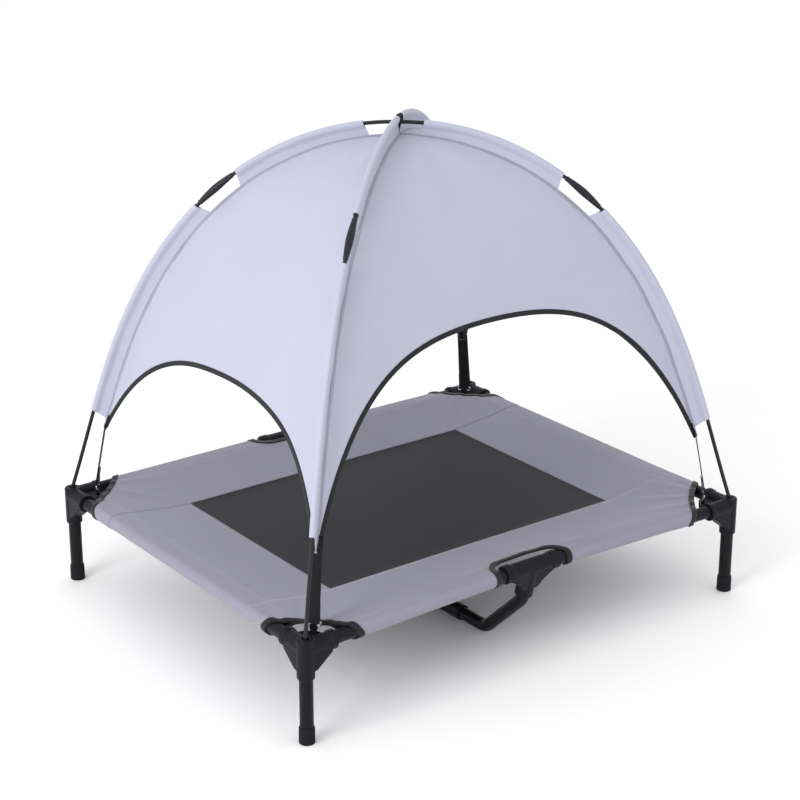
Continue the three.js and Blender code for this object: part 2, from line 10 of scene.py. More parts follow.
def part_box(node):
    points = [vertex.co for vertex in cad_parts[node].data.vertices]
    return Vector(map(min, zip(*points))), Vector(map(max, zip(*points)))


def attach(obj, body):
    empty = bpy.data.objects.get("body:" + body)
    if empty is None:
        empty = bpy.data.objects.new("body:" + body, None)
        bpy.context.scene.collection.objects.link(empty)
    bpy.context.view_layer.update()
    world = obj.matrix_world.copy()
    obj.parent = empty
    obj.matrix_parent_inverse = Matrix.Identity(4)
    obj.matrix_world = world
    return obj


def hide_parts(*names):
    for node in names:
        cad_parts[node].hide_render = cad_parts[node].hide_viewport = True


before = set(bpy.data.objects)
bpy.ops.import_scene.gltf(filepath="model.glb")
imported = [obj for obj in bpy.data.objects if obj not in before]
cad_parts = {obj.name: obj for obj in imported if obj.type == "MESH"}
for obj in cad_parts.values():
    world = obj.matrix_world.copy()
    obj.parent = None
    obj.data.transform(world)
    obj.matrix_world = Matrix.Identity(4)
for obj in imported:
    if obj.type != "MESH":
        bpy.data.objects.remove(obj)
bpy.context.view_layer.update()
MM = 0.001


def in_mm(*pairs):
    """Pairs of places given in millimetres."""
    return [(a * MM, b * MM) for a, b in pairs]



# ---- studio --------------------------------------------------------------------------------------
# A pale floor in an even white room. A broad soft lamp stands high on the left, and a weaker one fills
# the front. The camera stands off the near left corner, a little above the canopy.
CAMERA_PLACE = Vector((-2.0061, -2.6844, 1.6107))
CAMERA_YAW = math.radians(-36.806)
CAMERA_PITCH = math.radians(-20.587)
CAMERA_LENS = 92.8
FLOOR_HALF = 40.0


def stand_camera():
    lens = bpy.data.cameras.new("studio_camera")
    lens.lens = CAMERA_LENS
    lens.clip_end = 100
    camera = bpy.data.objects.new("studio_camera", lens)
    camera.location = CAMERA_PLACE
    camera.rotation_euler = (math.pi / 2 + CAMERA_PITCH, 0, CAMERA_YAW)
    bpy.context.scene.collection.objects.link(camera)
    bpy.context.scene.camera = camera


def hang_lamp(name, place, size, power):
    light = bpy.data.lights.new(name, "AREA")
    light.size = size
    light.energy = power
    lamp = bpy.data.objects.new(name, light)
    lamp.location = place
    lamp.rotation_euler = (Vector((0, 0, 0.4)) - Vector(place)).to_track_quat("-Z", "Y").to_euler()
    bpy.context.scene.collection.objects.link(lamp)


def paint_room(colour, strength):
    room = bpy.data.worlds.new("white_room")
    room.use_nodes = True
    room.node_tree.nodes["Background"].inputs["Color"].default_value = (*colour, 1)
    room.node_tree.nodes["Background"].inputs["Strength"].default_value = strength
    bpy.context.scene.world = room


stand_camera()
hang_lamp("left_lamp", (-3.8, -0.9, 2.1), 2.0, 82)
hang_lamp("front_lamp", (1.2, -4.2, 2.2), 2.6, 4)
paint_room((1.0, 1.0, 1.0), 1.06)
bpy.context.scene.view_settings.view_transform = "Standard"


class Wire:
    """A node's output that can be used in sums."""

    def __init__(self, finish, socket):
        self.finish = finish
        self.socket = socket

    def sum(self, operation, *values):
        return self.finish.node("ShaderNodeMath", {"operation": operation}, dict(enumerate(values)))

    def __add__(self, other):
        return self.sum("ADD", self, other)

    def __sub__(self, other):
        return self.sum("SUBTRACT", self, other)

    def __rsub__(self, other):
        return self.sum("SUBTRACT", other, self)

    def __mul__(self, other):
        return self.sum("MULTIPLY", self, other)

    def __mod__(self, other):
        return self.sum("FLOORED_MODULO", self, other)

    def __gt__(self, other):
        return self.sum("GREATER_THAN", self, other)

    def __abs__(self):
        return self.sum("ABSOLUTE", self)

    def ridge(self):
        """Rises to 1 and falls back to 0 once between whole numbers."""
        return 1 - abs(self % 1 * 2 - 1)

    __radd__ = __add__
    __rmul__ = __mul__


class Finish:
    """A surface finish: a Principled shader and the nodes that feed it."""

    def __init__(self, name, **constants):
        self.material = bpy.data.materials.new(name)
        self.material.use_nodes = True
        self.tree = self.material.node_tree
        self.shader = self.tree.nodes["Principled BSDF"]
        for socket, value in constants.items():
            self.shader.inputs[socket.replace("_", " ")].default_value = value

    def node(self, kind, settings, sockets, output=0):
        node = self.tree.nodes.new(kind)
        for key, value in settings.items():
            setattr(node, key, value)
        for key, value in sockets.items():
            self.feed(node.inputs[key], value)
        return Wire(self, node.outputs[output])

    def feed(self, socket, value):
        if isinstance(value, Wire):
            self.tree.links.new(value.socket, socket)
        else:
            socket.default_value = value

    def noise(self, scale, detail=2.0, stretch=(1, 1, 1)):
        """Even noise, from 0 to 1, over the piece's own place."""
        place = self.node("ShaderNodeTexCoord", {}, {}, "Object")
        place = self.node("ShaderNodeMapping", {}, {"Vector": place, "Scale": stretch})
        return self.node("ShaderNodeTexNoise", {}, {"Vector": place, "Scale": scale, "Detail": detail})

    def flat_places(self):
        """The piece's own flat UVs: its places across and along."""
        flat = self.node("ShaderNodeUVMap", {"uv_map": "flat"}, {})
        across = self.node("ShaderNodeSeparateXYZ", {}, {"Vector": flat})
        return across, Wire(self, across.socket.node.outputs["Y"])

    def mixed(self, low, high, share):
        """A colour between two, by a share from 0 to 1."""
        colours = {6: (*low, 1), 7: (*high, 1), 0: share}
        return self.node("ShaderNodeMix", {"data_type": "RGBA"}, colours, 2)

    def show(self, colour, roughness, height, depth, strength=1.0):
        self.feed(self.shader.inputs["Base Color"], colour)
        self.feed(self.shader.inputs["Roughness"], roughness)
        bump = self.node("ShaderNodeBump", {}, {"Strength": strength, "Distance": depth, "Height": height})
        self.feed(self.shader.inputs["Normal"], bump)
        return self.material


def floor_paint():
    finish = Finish("floor_paint")
    cloud = finish.noise(1.5)
    return finish.show(finish.mixed((0.93, 0.93, 0.935), (0.96, 0.96, 0.96), cloud), 0.7 + 0.1 * cloud,
                       finish.noise(160), 0.2 * MM)


def linked(name, mesh, finish):
    mesh.materials.clear()
    mesh.materials.append(finish)
    piece = bpy.data.objects.new(name, mesh)
    bpy.context.scene.collection.objects.link(piece)
    return piece


def lay_floor():
    mesh = bpy.data.meshes.new("floor")
    h = FLOOR_HALF
    mesh.from_pydata([(-h, -h, 0), (h, -h, 0), (h, h, 0), (-h, h, 0)], [], [(0, 1, 2, 3)])
    floor = linked("floor", mesh, floor_paint())


lay_floor()

# ---- legs and feet -------------------------------------------------------------------------------
# Four legs of powder-coated steel tube stand in soft rubber caps, which are pushed on over their ends.
# The caps are moulded with three shallow grip grooves and a rounded sole.
LEG_LOW, LEG_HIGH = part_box("leg_tube_front_left")
CAP_LOW, CAP_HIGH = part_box("foot_cap_front_left")
LEG_X = abs(LEG_LOW.x + LEG_HIGH.x) / 2
LEG_Y = abs(LEG_LOW.y + LEG_HIGH.y) / 2
TUBE_R = (LEG_HIGH.x - LEG_LOW.x) / 2
TUBE_WALL = 1.2 * MM
CORNERS = {"front_left": (-1, -1), "front_right": (1, -1), "back_right": (1, 1), "back_left": (-1, 1)}
ROUND = 56
UP = Vector((0, 0, 1))


def coated_steel():
    finish = Finish("powder_coated_steel", Metallic=0.0, Specular_IOR_Level=0.18)
    cloud = finish.noise(38, 3)
    scuffs = finish.noise(210, 4, (1, 1, 0.25)) > 0.66
    colour = finish.mixed((0.0028, 0.0028, 0.0046), (0.006, 0.006, 0.009), cloud * 0.8 + scuffs * 0.2)
    return finish.show(colour, 0.33 + 0.1 * cloud + 0.08 * scuffs, finish.noise(1300), 0.05 * MM)


def cap_rubber():
    finish = Finish("cap_rubber", Specular_IOR_Level=0.2)
    cloud = finish.noise(60, 4)
    dust = finish.noise(500, 3) > 0.62
    colour = finish.mixed((0.0045, 0.0045, 0.007), (0.012, 0.012, 0.016), cloud * 0.6 + dust * 0.3)
    return finish.show(colour, 0.7 + 0.15 * cloud, finish.noise(1800, 3), 0.08 * MM)


def skinned(rings, closed=False):
    """Points and faces of a skin over rings of equal count. Unless the rings close on themselves, the
    first and the last are capped."""
    count = len(rings[0])
    points = [point for ring in rings for point in ring]
    faces = []
    for r in range(len(rings) if closed else len(rings) - 1):
        this, following = r * count, (r + 1) % len(rings) * count
        for k in range(count):
            n = (k + 1) % count
            faces.append((this + k, this + n, following + n, following + k))
    if not closed:
        faces.append(tuple(reversed(range(count))))
        faces.append(tuple(range(len(points) - count, len(points))))
    return points, faces


def welded(mesh):
    """Joins points that lie together, and turns every face outward."""
    work = bmesh.new()
    work.from_mesh(mesh)
    bmesh.ops.remove_doubles(work, verts=work.verts, dist=1e-6)
    bmesh.ops.recalc_face_normals(work, faces=work.faces)
    work.to_mesh(mesh)
    work.free()
    mesh.shade_smooth()
    return mesh


def made(name, points, faces, finish, crease=40):
    """A closed mesh piece, smooth but for edges sharper than the crease angle."""
    mesh = bpy.data.meshes.new(name)
    mesh.from_pydata([tuple(point) for point in points], [], faces)
    welded(mesh)
    mesh.set_sharp_from_angle(angle=math.radians(crease))
    return linked(name, mesh, finish)


def turned(profile, foot, axis, sides=ROUND):
    """Points and faces of a closed profile of (radius, distance) pairs turned about an axis."""
    side = axis.orthogonal().normalized()
    other = axis.cross(side)
    rings = []
    for k in range(sides):
        angle = 2 * math.pi * k / sides
        out = side * math.cos(angle) + other * math.sin(angle)
        rings.append([foot + out * radius + axis * distance for radius, distance in profile])
    return skinned(rings, closed=True)


def straight_tube(name, low, high, finish):
    """A cut length of tube with its sharp edges taken off."""
    axis = (high - low).normalized()
    length = (high - low).length
    bore = TUBE_R - TUBE_WALL
    ease = 0.25 * MM
    profile = [(bore, ease), (bore + ease, 0), (TUBE_R - ease, 0), (TUBE_R, ease),
               (TUBE_R, length - ease), (TUBE_R - ease, length), (bore + ease, length), (bore, length - ease)]
    return made(name, *turned(profile, low, axis), finish)


def fitted(piece, body, slot, *nodes):
    """Rides on its body and stands for CAD nodes, which it hides. Its slot is not used."""
    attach(piece, body)
    if nodes:
        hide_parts(*nodes)
    return piece


def cap_profile():
    """The outside of a foot cap with its three grooves, then the inside."""
    radius = (CAP_HIGH.x - CAP_LOW.x) / 2
    height = CAP_HIGH.z
    sole = 4 * MM
    round_edge = 2.2 * MM
    outside = [(0, 0)]
    for step in range(7):
        angle = math.pi / 2 * step / 6
        outside.append((radius - round_edge * (1 - math.sin(angle)), round_edge * (1 - math.cos(angle))))
    for groove in (9, 13, 17):
        for offset, depth in ((-1.2, 0), (-0.6, 0.45), (0.6, 0.45), (1.2, 0)):
            outside.append((radius - (0.15 + depth) * MM, (groove + offset) * MM))
    lip = radius - 0.5 * MM
    outside += [(lip, height - 1.4 * MM), (lip - 0.4 * MM, height - 0.4 * MM), (lip - 1 * MM, height)]
    bore = TUBE_R + 0.1 * MM
    return outside + [(bore + 0.3 * MM, height), (bore, height - 0.5 * MM), (bore, sole), (0, sole)]


STEEL = coated_steel()
RUBBER = cap_rubber()
for corner, (x, y) in CORNERS.items():
    foot = Vector((x * LEG_X, y * LEG_Y, 0))
    leg = straight_tube(f"leg_{corner}", foot + UP * LEG_LOW.z, foot + UP * LEG_HIGH.z, STEEL)
    fitted(leg, "frame", "painted_steel", f"leg_tube_{corner}")
    cap = made(f"rubber_cap_{corner}", *turned(cap_profile(), foot, UP), RUBBER, 50)
    fitted(cap, "frame", "rubber_black", f"foot_cap_{corner}")

# ---- rails ---------------------------------------------------------------------------------------
# The two side rails are one tube each. The front and back rails are two tubes each, which meet inside
# the tee in the middle, a little in and up from the corners. All run inside the sling's sewn tunnels.
RAILS = ["side_left", "side_right", "front_left", "front_right", "back_left", "back_right"]
RAIL_Z = sum(corner.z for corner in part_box("rail_side_left")) / 2
BOW_IN = 8 * MM
BOW_UP = 5 * MM


def long_rail_at(x, side):
    """A point on the axis of a long rail, on the front (-1) or the back (1)."""
    share = (LEG_X - abs(x)) / LEG_X
    return Vector((x, side * (LEG_Y - share * BOW_IN), RAIL_Z + share * BOW_UP))


for rail in RAILS:
    low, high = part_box(f"rail_{rail}")
    if rail.startswith("side"):
        middle = (low + high) / 2
        start, end = Vector((middle.x, low.y, RAIL_Z)), Vector((middle.x, high.y, RAIL_Z))
    else:
        side = 1 if rail.startswith("back") else -1
        start, end = long_rail_at(low.x, side), long_rail_at(high.x, side)
    fitted(straight_tube(f"steel_rail_{rail}", start, end, STEEL), "frame", "painted_steel", f"rail_{rail}")

# ---- corner connectors ---------------------------------------------------------------------------
# One black moulding holds a leg and two rails at each corner. Its sockets end in collar rings, deep
# gussets stiffen it, and a flat web between the arms takes the canopy's hook. A rod stands in its top.
CONNECTOR_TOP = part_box("corner_connector_front_left")[1].z
CONNECTOR_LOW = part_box("corner_connector_front_left")[0].z
ARM_END = 52 * MM
SOCKET_R = 14.2 * MM
COLLAR_R = 15.6 * MM
FIT = 0.15 * MM
GUSSET_WIDE = 26 * MM
WEB_THICK = 6.4 * MM
RAIL_STOP = 17 * MM
HOOK_INSET = 45 * MM
ROD_HOLE_R = 6 * MM
ROD_HOLE_FLOOR = 151 * MM
VOXEL = 0.9 * MM


def moulded_black():
    finish = Finish("moulded_black", Specular_IOR_Level=0.18)
    cloud = finish.noise(45, 3)
    rub = finish.noise(150, 5) > 0.63
    colour = finish.mixed((0.003, 0.0028, 0.0056), (0.0078, 0.0074, 0.0125), cloud * 0.7 + rub * 0.25)
    return finish.show(colour, 0.42 + 0.12 * cloud - 0.06 * rub, finish.noise(2200, 3), 0.07 * MM)


def bar(start, end, radius, ease=0.0):
    """Points and faces of a solid round bar, its ends eased."""
    length = (end - start).length
    profile = [(0, 0), (radius - ease, 0), (radius, ease), (radius, length - ease), (radius - ease, length),
               (0, length)]
    return turned(profile, start, (end - start).normalized())


def slab(outline, thickness, place):
    """Points and faces of an outline given thickness. `place` turns it into its position."""
    half = thickness / 2
    rings = [[place @ Vector((a, b, side)) for a, b in outline] for side in (-half, half)]
    return skinned(rings)


def lump(name, bodies):
    """One mesh object from several overlapping closed bodies."""
    points, faces = [], []
    for body_points, body_faces in bodies:
        start = len(points)
        points += body_points
        faces += [tuple(start + i for i in face) for face in body_faces]
    return made(name, points, faces, MOULDED)


def settle(piece):
    """Puts a piece's modifiers into its mesh."""
    seen = piece.evaluated_get(bpy.context.evaluated_depsgraph_get())
    mesh = bpy.data.meshes.new_from_object(seen)
    piece.modifiers.clear()
    old = piece.data
    piece.data = mesh
    bpy.data.meshes.remove(old)
    return piece


def fused(name, bodies):
    """Overlapping bodies run together as in one mould, with small fillets where they meet."""
    piece = lump(name, bodies)
    remesh = piece.modifiers.new("fuse", "REMESH")
    remesh.mode = "VOXEL"
    remesh.voxel_size = VOXEL
    smooth = piece.modifiers.new("fillet", "SMOOTH")
    smooth.factor = 0.5
    smooth.iterations = 3
    thin = piece.modifiers.new("thin", "DECIMATE")
    thin.ratio = 0.45
    return settle(piece)


def bored(piece, bodies):
    """Cuts bodies out of a piece, one after another."""
    for body in bodies:
        tool = lump("tool", [body])
        cut = piece.modifiers.new("bore", "BOOLEAN")
        cut.operation = "DIFFERENCE"
        cut.solver = "EXACT"
        cut.object = tool
        settle(piece)
        bpy.data.objects.remove(tool)
    piece.data.shade_smooth()
    piece.data.set_sharp_from_angle(angle=math.radians(38))
    return piece


def upright(angle):
    """An outline's plane stood up, its first number along a level direction and its second up."""
    return Matrix.Rotation(angle, 4, "Z") @ Matrix.Rotation(math.pi / 2, 4, "X")


def connector_bodies():
    """A corner at the origin of the plan with its arms along +X and +Y."""
    level = UP * RAIL_Z
    bodies = [bar(UP * CONNECTOR_LOW, UP * CONNECTOR_TOP, SOCKET_R, 1.6 * MM)]
    gusset = in_mm((0, 164), (0, 122), (14.5, 126.5), (42, 149.5), (44, 164))
    for arm, angle in ((Vector((1, 0, 0)), 0), (Vector((0, 1, 0)), math.pi / 2)):
        bodies.append(bar(level, level + arm * ARM_END, SOCKET_R - 0.1 * MM))
        for ring, radius in ((ARM_END - 7.5 * MM, COLLAR_R), (ARM_END - 2.5 * MM, COLLAR_R + 0.2 * MM)):
            start, end = level + arm * (ring - 2 * MM), level + arm * (ring + 2.2 * MM)
            bodies.append(bar(start, end, radius, 0.5 * MM))
        bodies.append(slab(gusset, GUSSET_WIDE, upright(angle)))
    web = in_mm((0, 0), (50, 0), (44, 30), (30, 44), (0, 50))
    bodies.append(slab(web, WEB_THICK, Matrix.Translation(level)))
    return bodies


def rail_bores(long_along_x):
    """The sockets for the two rails. The long rail leans towards the short one, and rises."""
    bores = []
    for along_x in (True, False):
        lean, climb = (BOW_IN / LEG_X, BOW_UP / LEG_X) if along_x == long_along_x else (0, 0)
        ends = []
        for reach in (RAIL_STOP, ARM_END + 3 * MM):
            pair = (reach, reach * lean) if along_x else (reach * lean, reach)
            ends.append(Vector((*pair, RAIL_Z + reach * climb)))
        bores.append(bar(*ends, TUBE_R + FIT))
    return bores


def connector_bores(hook_angle, long_along_x):
    """The sockets for leg and rails, the rod's hole, and the slot for the hook."""
    level = UP * RAIL_Z
    slot = in_mm((-3, -6.5), (3, -6.5), (3, 6.5), (-3, 6.5))
    turn = Matrix.Rotation(hook_angle, 4, "Z")
    return [
        bar(UP * (CONNECTOR_LOW - MM), UP * (LEG_HIGH.z + MM), TUBE_R + FIT),
        *rail_bores(long_along_x),
        bar(UP * ROD_HOLE_FLOOR, UP * (CONNECTOR_TOP + MM), ROD_HOLE_R),
        slab(slot, 20 * MM, Matrix.Translation(level) @ turn @ Matrix.Translation((HOOK_INSET, 0, 0))),
    ]


MOULDED = moulded_black()
for number, (corner, (x, y)) in enumerate(CORNERS.items()):
    quarter = number * math.pi / 2
    inward = math.atan2(-y * LEG_Y, -x * LEG_X) - quarter
    body = bored(fused(f"moulded_corner_{corner}", connector_bodies()), connector_bores(inward, x == y))
    body.data.transform(Matrix.Translation((x * LEG_X, y * LEG_Y, 0)) @ Matrix.Rotation(quarter, 4, "Z"))
    fitted(body, "frame", "moulded_black", f"corner_connector_{corner}")

# ---- tees and brace ------------------------------------------------------------------------------
# A moulded tee joins each long rail in the middle and holds a bent tube that slants in under the bed. The
# two tubes run level just above the floor and meet in a wider sleeve, so the rails can't sag or spread.
TEE_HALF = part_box("tee_connector_front")[1].x
TEE_GUSSET_WIDE = 27 * MM
BRANCH_TILT = math.radians(15)
BRANCH_END = 56 * MM
BRANCH_R = 15.2 * MM
SLEEVE_LOW, SLEEVE_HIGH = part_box("brace_sleeve")
BRACE_Z = (SLEEVE_LOW.z + SLEEVE_HIGH.z) / 2
BRACE_BEND_Y = 248 * MM


def branch_point(distance):
    """A point down the front tee's branch, measured from the rail's axis."""
    lean = Vector((0, math.sin(BRANCH_TILT), -math.cos(BRANCH_TILT)))
    return long_rail_at(0, -1) + lean * distance


def tee_bodies():
    rail = branch_point(0)
    along = Vector((1, 0, 0))
    bodies = [bar(rail - along * TEE_HALF, rail + along * TEE_HALF, SOCKET_R - 0.1 * MM)]
    for end in (-1, 1):
        for ring in (2.2, 7.4, 12.6):
            middle = rail + along * end * (TEE_HALF - ring * MM)
            bodies.append(bar(middle - along * 2 * MM, middle + along * 2 * MM, COLLAR_R, 0.6 * MM))
    bodies.append(bar(rail, branch_point(BRANCH_END), BRANCH_R, 1 * MM))
    gusset = in_mm((-45, 0), (-43, -11), (-26, -23), (-15.2, -37), (15.2, -37), (26, -23), (43, -11), (45, 0))
    lean = Matrix.Rotation(math.pi / 2 + BRANCH_TILT, 4, "X")
    bodies.append(slab(gusset, TEE_GUSSET_WIDE, Matrix.Translation(rail) @ lean))
    return bodies


def tee_bores():
    """The branch's socket, and one for each half of the rail."""
    wide = TUBE_R + FIT
    bores = []
    for end in (-1, 1):
        inner = branch_point(0) - Vector((end * MM, 0, 0))
        bores.append(bar(inner, long_rail_at(end * (TEE_HALF + 2 * MM), -1), wide))
    return bores + [bar(branch_point(18 * MM), branch_point(BRANCH_END + 4 * MM), wide)]


def rounded(corners, radius, step=4 * MM):
    """A path through corner points, each corner replaced by an arc of about the given radius."""
    path = [corners[0]]
    for before, corner, after in zip(corners, corners[1:], corners[2:]):
        inward, outward = (before - corner).normalized(), (after - corner).normalized()
        half = inward.angle(outward) / 2
        reach = radius / math.tan(half)
        middle = corner + (inward + outward).normalized() * (radius / math.sin(half))
        start = (corner + inward * reach - middle).normalized()
        end = (corner + outward * reach - middle).normalized()
        count = max(3, round(start.angle(end) * radius / step))
        path += [middle + start.slerp(end, k / count) * radius for k in range(count + 1)]
    return path + [corners[-1]]


def ahead_at(path, i):
    """The direction of a path at one of its points."""
    return (path[min(i + 1, len(path) - 1)] - path[max(i - 1, 0)]).normalized()


def carried(path, section, side):
    """Rings of a section of (a, b) pairs carried along a path, a along `side` and b across it. Either may
    be a function of the point's number."""
    rings = []
    for i, point in enumerate(path):
        sideways = side(i) if callable(side) else side
        across = sideways.cross(ahead_at(path, i)).normalized()
        pairs = section(i) if callable(section) else section
        rings.append([point + sideways * a + across * b for a, b in pairs])
    return rings


def circle(radius, sides):
    steps = [2 * math.pi * k / sides for k in range(sides)]
    return [(radius * math.cos(angle), radius * math.sin(angle)) for angle in steps]


def bent_tube(path, radius, bore, side):
    """Points and faces of a hollow tube along a bent path."""
    outside = carried(path, circle(radius, 40), side)
    inside = carried(path, circle(bore, 40), side)
    return skinned(outside + inside[::-1], closed=True)


brace_corners = [branch_point(21 * MM), branch_point(BRANCH_END + 11 * MM),
                 Vector((0, -BRACE_BEND_Y, BRACE_Z)), Vector((0, SLEEVE_LOW.y + 22 * MM, BRACE_Z))]
brace_path = rounded(brace_corners, 30 * MM)
half_turn = Matrix.Rotation(math.pi, 4, "Z")
tee_front = bored(fused("moulded_tee_front", tee_bodies()), tee_bores())
tee_back = linked("moulded_tee_back", tee_front.data.copy(), MOULDED)
brace_skin = bent_tube(brace_path, TUBE_R, TUBE_R - TUBE_WALL, Vector((1, 0, 0)))
brace_front = made("bent_brace_front", *brace_skin, STEEL)
brace_back = linked("bent_brace_back", brace_front.data.copy(), STEEL)
for piece in (tee_back, brace_back):
    piece.data.transform(half_turn)
for side, tee, brace in (("front", tee_front, brace_front), ("back", tee_back, brace_back)):
    fitted(tee, "frame", "moulded_black", f"tee_connector_{side}")
    fitted(brace, "frame", "painted_steel", f"brace_tube_{side}")

sleeve_r = (SLEEVE_HIGH.x - SLEEVE_LOW.x) / 2
ease = 0.9 * MM
sleeve_long = SLEEVE_HIGH.y - SLEEVE_LOW.y
sleeve_bore = TUBE_R + 0.2 * MM
sleeve_profile = [(sleeve_bore, 0), (sleeve_r - ease, 0), (sleeve_r, ease), (sleeve_r, sleeve_long - ease),
                  (sleeve_r - ease, sleeve_long), (sleeve_bore, sleeve_long)]
joining_sleeve = made("joining_sleeve", *turned(sleeve_profile, Vector((0, SLEEVE_LOW.y, BRACE_Z)),
                                                Vector((0, 1, 0))), STEEL)
fitted(joining_sleeve, "frame", "painted_steel", "brace_sleeve")

# ---- sling cloth ---------------------------------------------------------------------------------
# Grey oxford borders round a charcoal mesh. Each outer edge goes over its rail and back under the sheet,
# and is sewn down along a line inboard of the rail. The front and back borders run the full length and
# lap over the side ones, and the borders lap over the mesh.
MESH_X, MESH_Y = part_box("sling_mesh_centre")[1].xy
CLOTH = 0.7 * MM
LAP = 0.5 * MM
WRAP_R = TUBE_R + 0.9 * MM
HEM_IN = 24 * MM
HEM_RISE = 11.4 * MM
HEM_TAIL = 11 * MM
SAG = 16.6 * MM
SAG_WIDTH = 146 * MM
SCOOP_DEPTH = 62 * MM
SCOOP_OUT = 200 * MM
SCOOP_R = SCOOP_DEPTH + SCOOP_OUT * math.sqrt(2)
FOLD = 24 * MM
SLOT_HALF = 72 * MM
SLOT_DEPTH = 25 * MM
OVERLAP = 8 * MM
GRID = 6 * MM
FINE_GRID = 2.4 * MM
EDGE_STEP = 3 * MM


def tunnel_profile():
    """The hem's course round a rail from the sewn line: length run, distance inboard of the rail's axis and
    height over it. The crease at the sewn line is softened."""
    lean = math.atan2(HEM_RISE, HEM_IN)
    reach = math.acos(WRAP_R / math.hypot(HEM_IN, HEM_RISE))
    flat = 30 * MM
    corners = [(HEM_IN + flat, HEM_RISE), (HEM_IN, HEM_RISE)]
    for step in range(121):
        angle = lean + reach + (2 * math.pi - 2 * reach) * step / 120
        corners.append((WRAP_R * math.cos(angle), WRAP_R * math.sin(angle)))
    under = HEM_RISE - 2.4 * MM
    corners += [(HEM_IN, under), (HEM_IN + HEM_TAIL, under)]
    corners = np.array(corners)
    run = np.concatenate([[0], np.cumsum(np.hypot(*np.diff(corners, axis=0).T))])
    even = np.arange(0, run[-1], 0.4 * MM)
    course = np.stack([np.interp(even, run, corners[:, k]) for k in (0, 1)])
    window = 9
    padded = np.pad(course, ((0, 0), (window // 2, window // 2)), mode="edge")
    soft = np.stack([np.convolve(row, np.ones(window) / window, "valid") for row in padded])
    return even - flat, soft[0], soft[1]


TUNNEL_RUN, TUNNEL_IN, TUNNEL_RISE = tunnel_profile()
TUNNEL_END = float(TUNNEL_RUN[-1])
SEW_X = LEG_X - HEM_IN
SEW_Y = LEG_Y - HEM_IN


def round_rail(flat, sewn, axis):
    """Where cloth at a flat distance from the middle lies: its place along the axis, and its rise."""
    beyond = np.abs(flat) - sewn
    start = float(TUNNEL_RUN[0])
    inboard = np.interp(beyond, TUNNEL_RUN, TUNNEL_IN)
    place = np.where(beyond < start, np.abs(flat), axis - inboard)
    rise = np.where(beyond < start, 0, np.interp(beyond, TUNNEL_RUN, TUNNEL_RISE) - HEM_RISE)
    return np.sign(flat) * place, rise


def creases(a, b):
    """Small waves: drawn folds that fan out from each corner, and puckers beside the sewn lines."""
    wave = np.zeros_like(a)
    corner_away = np.hypot(np.abs(a) - LEG_X, np.abs(b) - LEG_Y)
    for x, y in CORNERS.values():
        across, down = a - x * LEG_X, b - y * LEG_Y
        away = np.hypot(across, down)
        turn = np.arctan2(down * y, across * x)
        fan = np.sin(turn * 15 + 0.6 * x + y) + 0.55 * np.sin(turn * 27 + 1.7 * x - y)
        wave += 0.9 * MM * fan * np.exp(-((away - 105 * MM) / (62 * MM)) ** 2)
    for flat, sewn, other in ((a, SEW_X, b), (b, SEW_Y, a)):
        near = np.exp(-((np.abs(flat) - sewn + 9 * MM) / (9 * MM)) ** 2)
        clear = np.clip((np.abs(other) - 95 * MM) / (25 * MM), 0, 1) if flat is b else 1
        clear = clear * np.clip((corner_away - 120 * MM) / (30 * MM), 0, 1)
        wave -= 0.8 * MM * clear * np.exp(-((np.abs(flat) - sewn) / (3 * MM)) ** 2)
        puckers = np.sin(other / (7.5 * MM)) + 0.8 * np.sin(other / (4.1 * MM) + 2 * flat / MM / 400)
        wave += 0.22 * MM * near * puckers
    seam = np.exp(-((np.abs(b) - MESH_Y - 4 * MM) / (4 * MM)) ** 2) * (np.abs(a) > MESH_X)
    wave -= 0.35 * MM * seam
    tees = np.exp(-((np.abs(b) - SEW_Y + 30 * MM) / (26 * MM)) ** 2) * np.exp(-(a / (120 * MM)) ** 2)
    wave += 0.8 * MM * tees * np.sin(a / (13 * MM) + 1)
    return wave


def sling_point(a, b):
    """Flat places on the sling, in metres from its middle, taken to where the cloth lies."""
    x, rise_x = round_rail(a, SEW_X, LEG_X)
    y, rise_y = round_rail(b, SEW_Y, LEG_Y)
    out_x = np.clip((np.abs(x) - SEW_X) / SAG_WIDTH + 1, 0, 1)
    out_y = np.clip((np.abs(y) - SEW_Y) / SAG_WIDTH + 1, 0, 1)
    sag = SAG * (1 - np.clip((out_x ** 3 + out_y ** 3) ** (1 / 3), 0, 1) ** 1.6)
    bow = (1 - np.clip(np.abs(x) / LEG_X, 0, 1)) * out_y
    y = y - np.sign(y) * bow * BOW_IN
    return np.stack([x, y, RAIL_Z + HEM_RISE - sag + rise_x + rise_y + bow * BOW_UP + creases(a, b)], -1)


def surface(place, a, b, lift=0.0):
    """Points and outward directions of a mapped cloth, raised off it by `lift`."""
    small = 0.2 * MM
    a, b = np.asarray(a, float), np.asarray(b, float)
    across = place(a + small, b) - place(a - small, b)
    down = place(a, b + small) - place(a, b - small)
    out = np.cross(across, down)
    out /= np.linalg.norm(out, axis=-1, keepdims=True) + 1e-12
    return place(a, b) + out * lift, out


def spaced(low, high, fine_from, coarse, fine):
    """Grid lines from low to high, finer where they are further than fine_from from the middle."""
    marks = [low]
    while marks[-1] < high:
        marks.append(marks[-1] + (fine if abs(marks[-1] + fine) > fine_from else coarse))
    return [mark for mark in marks if mark < high]


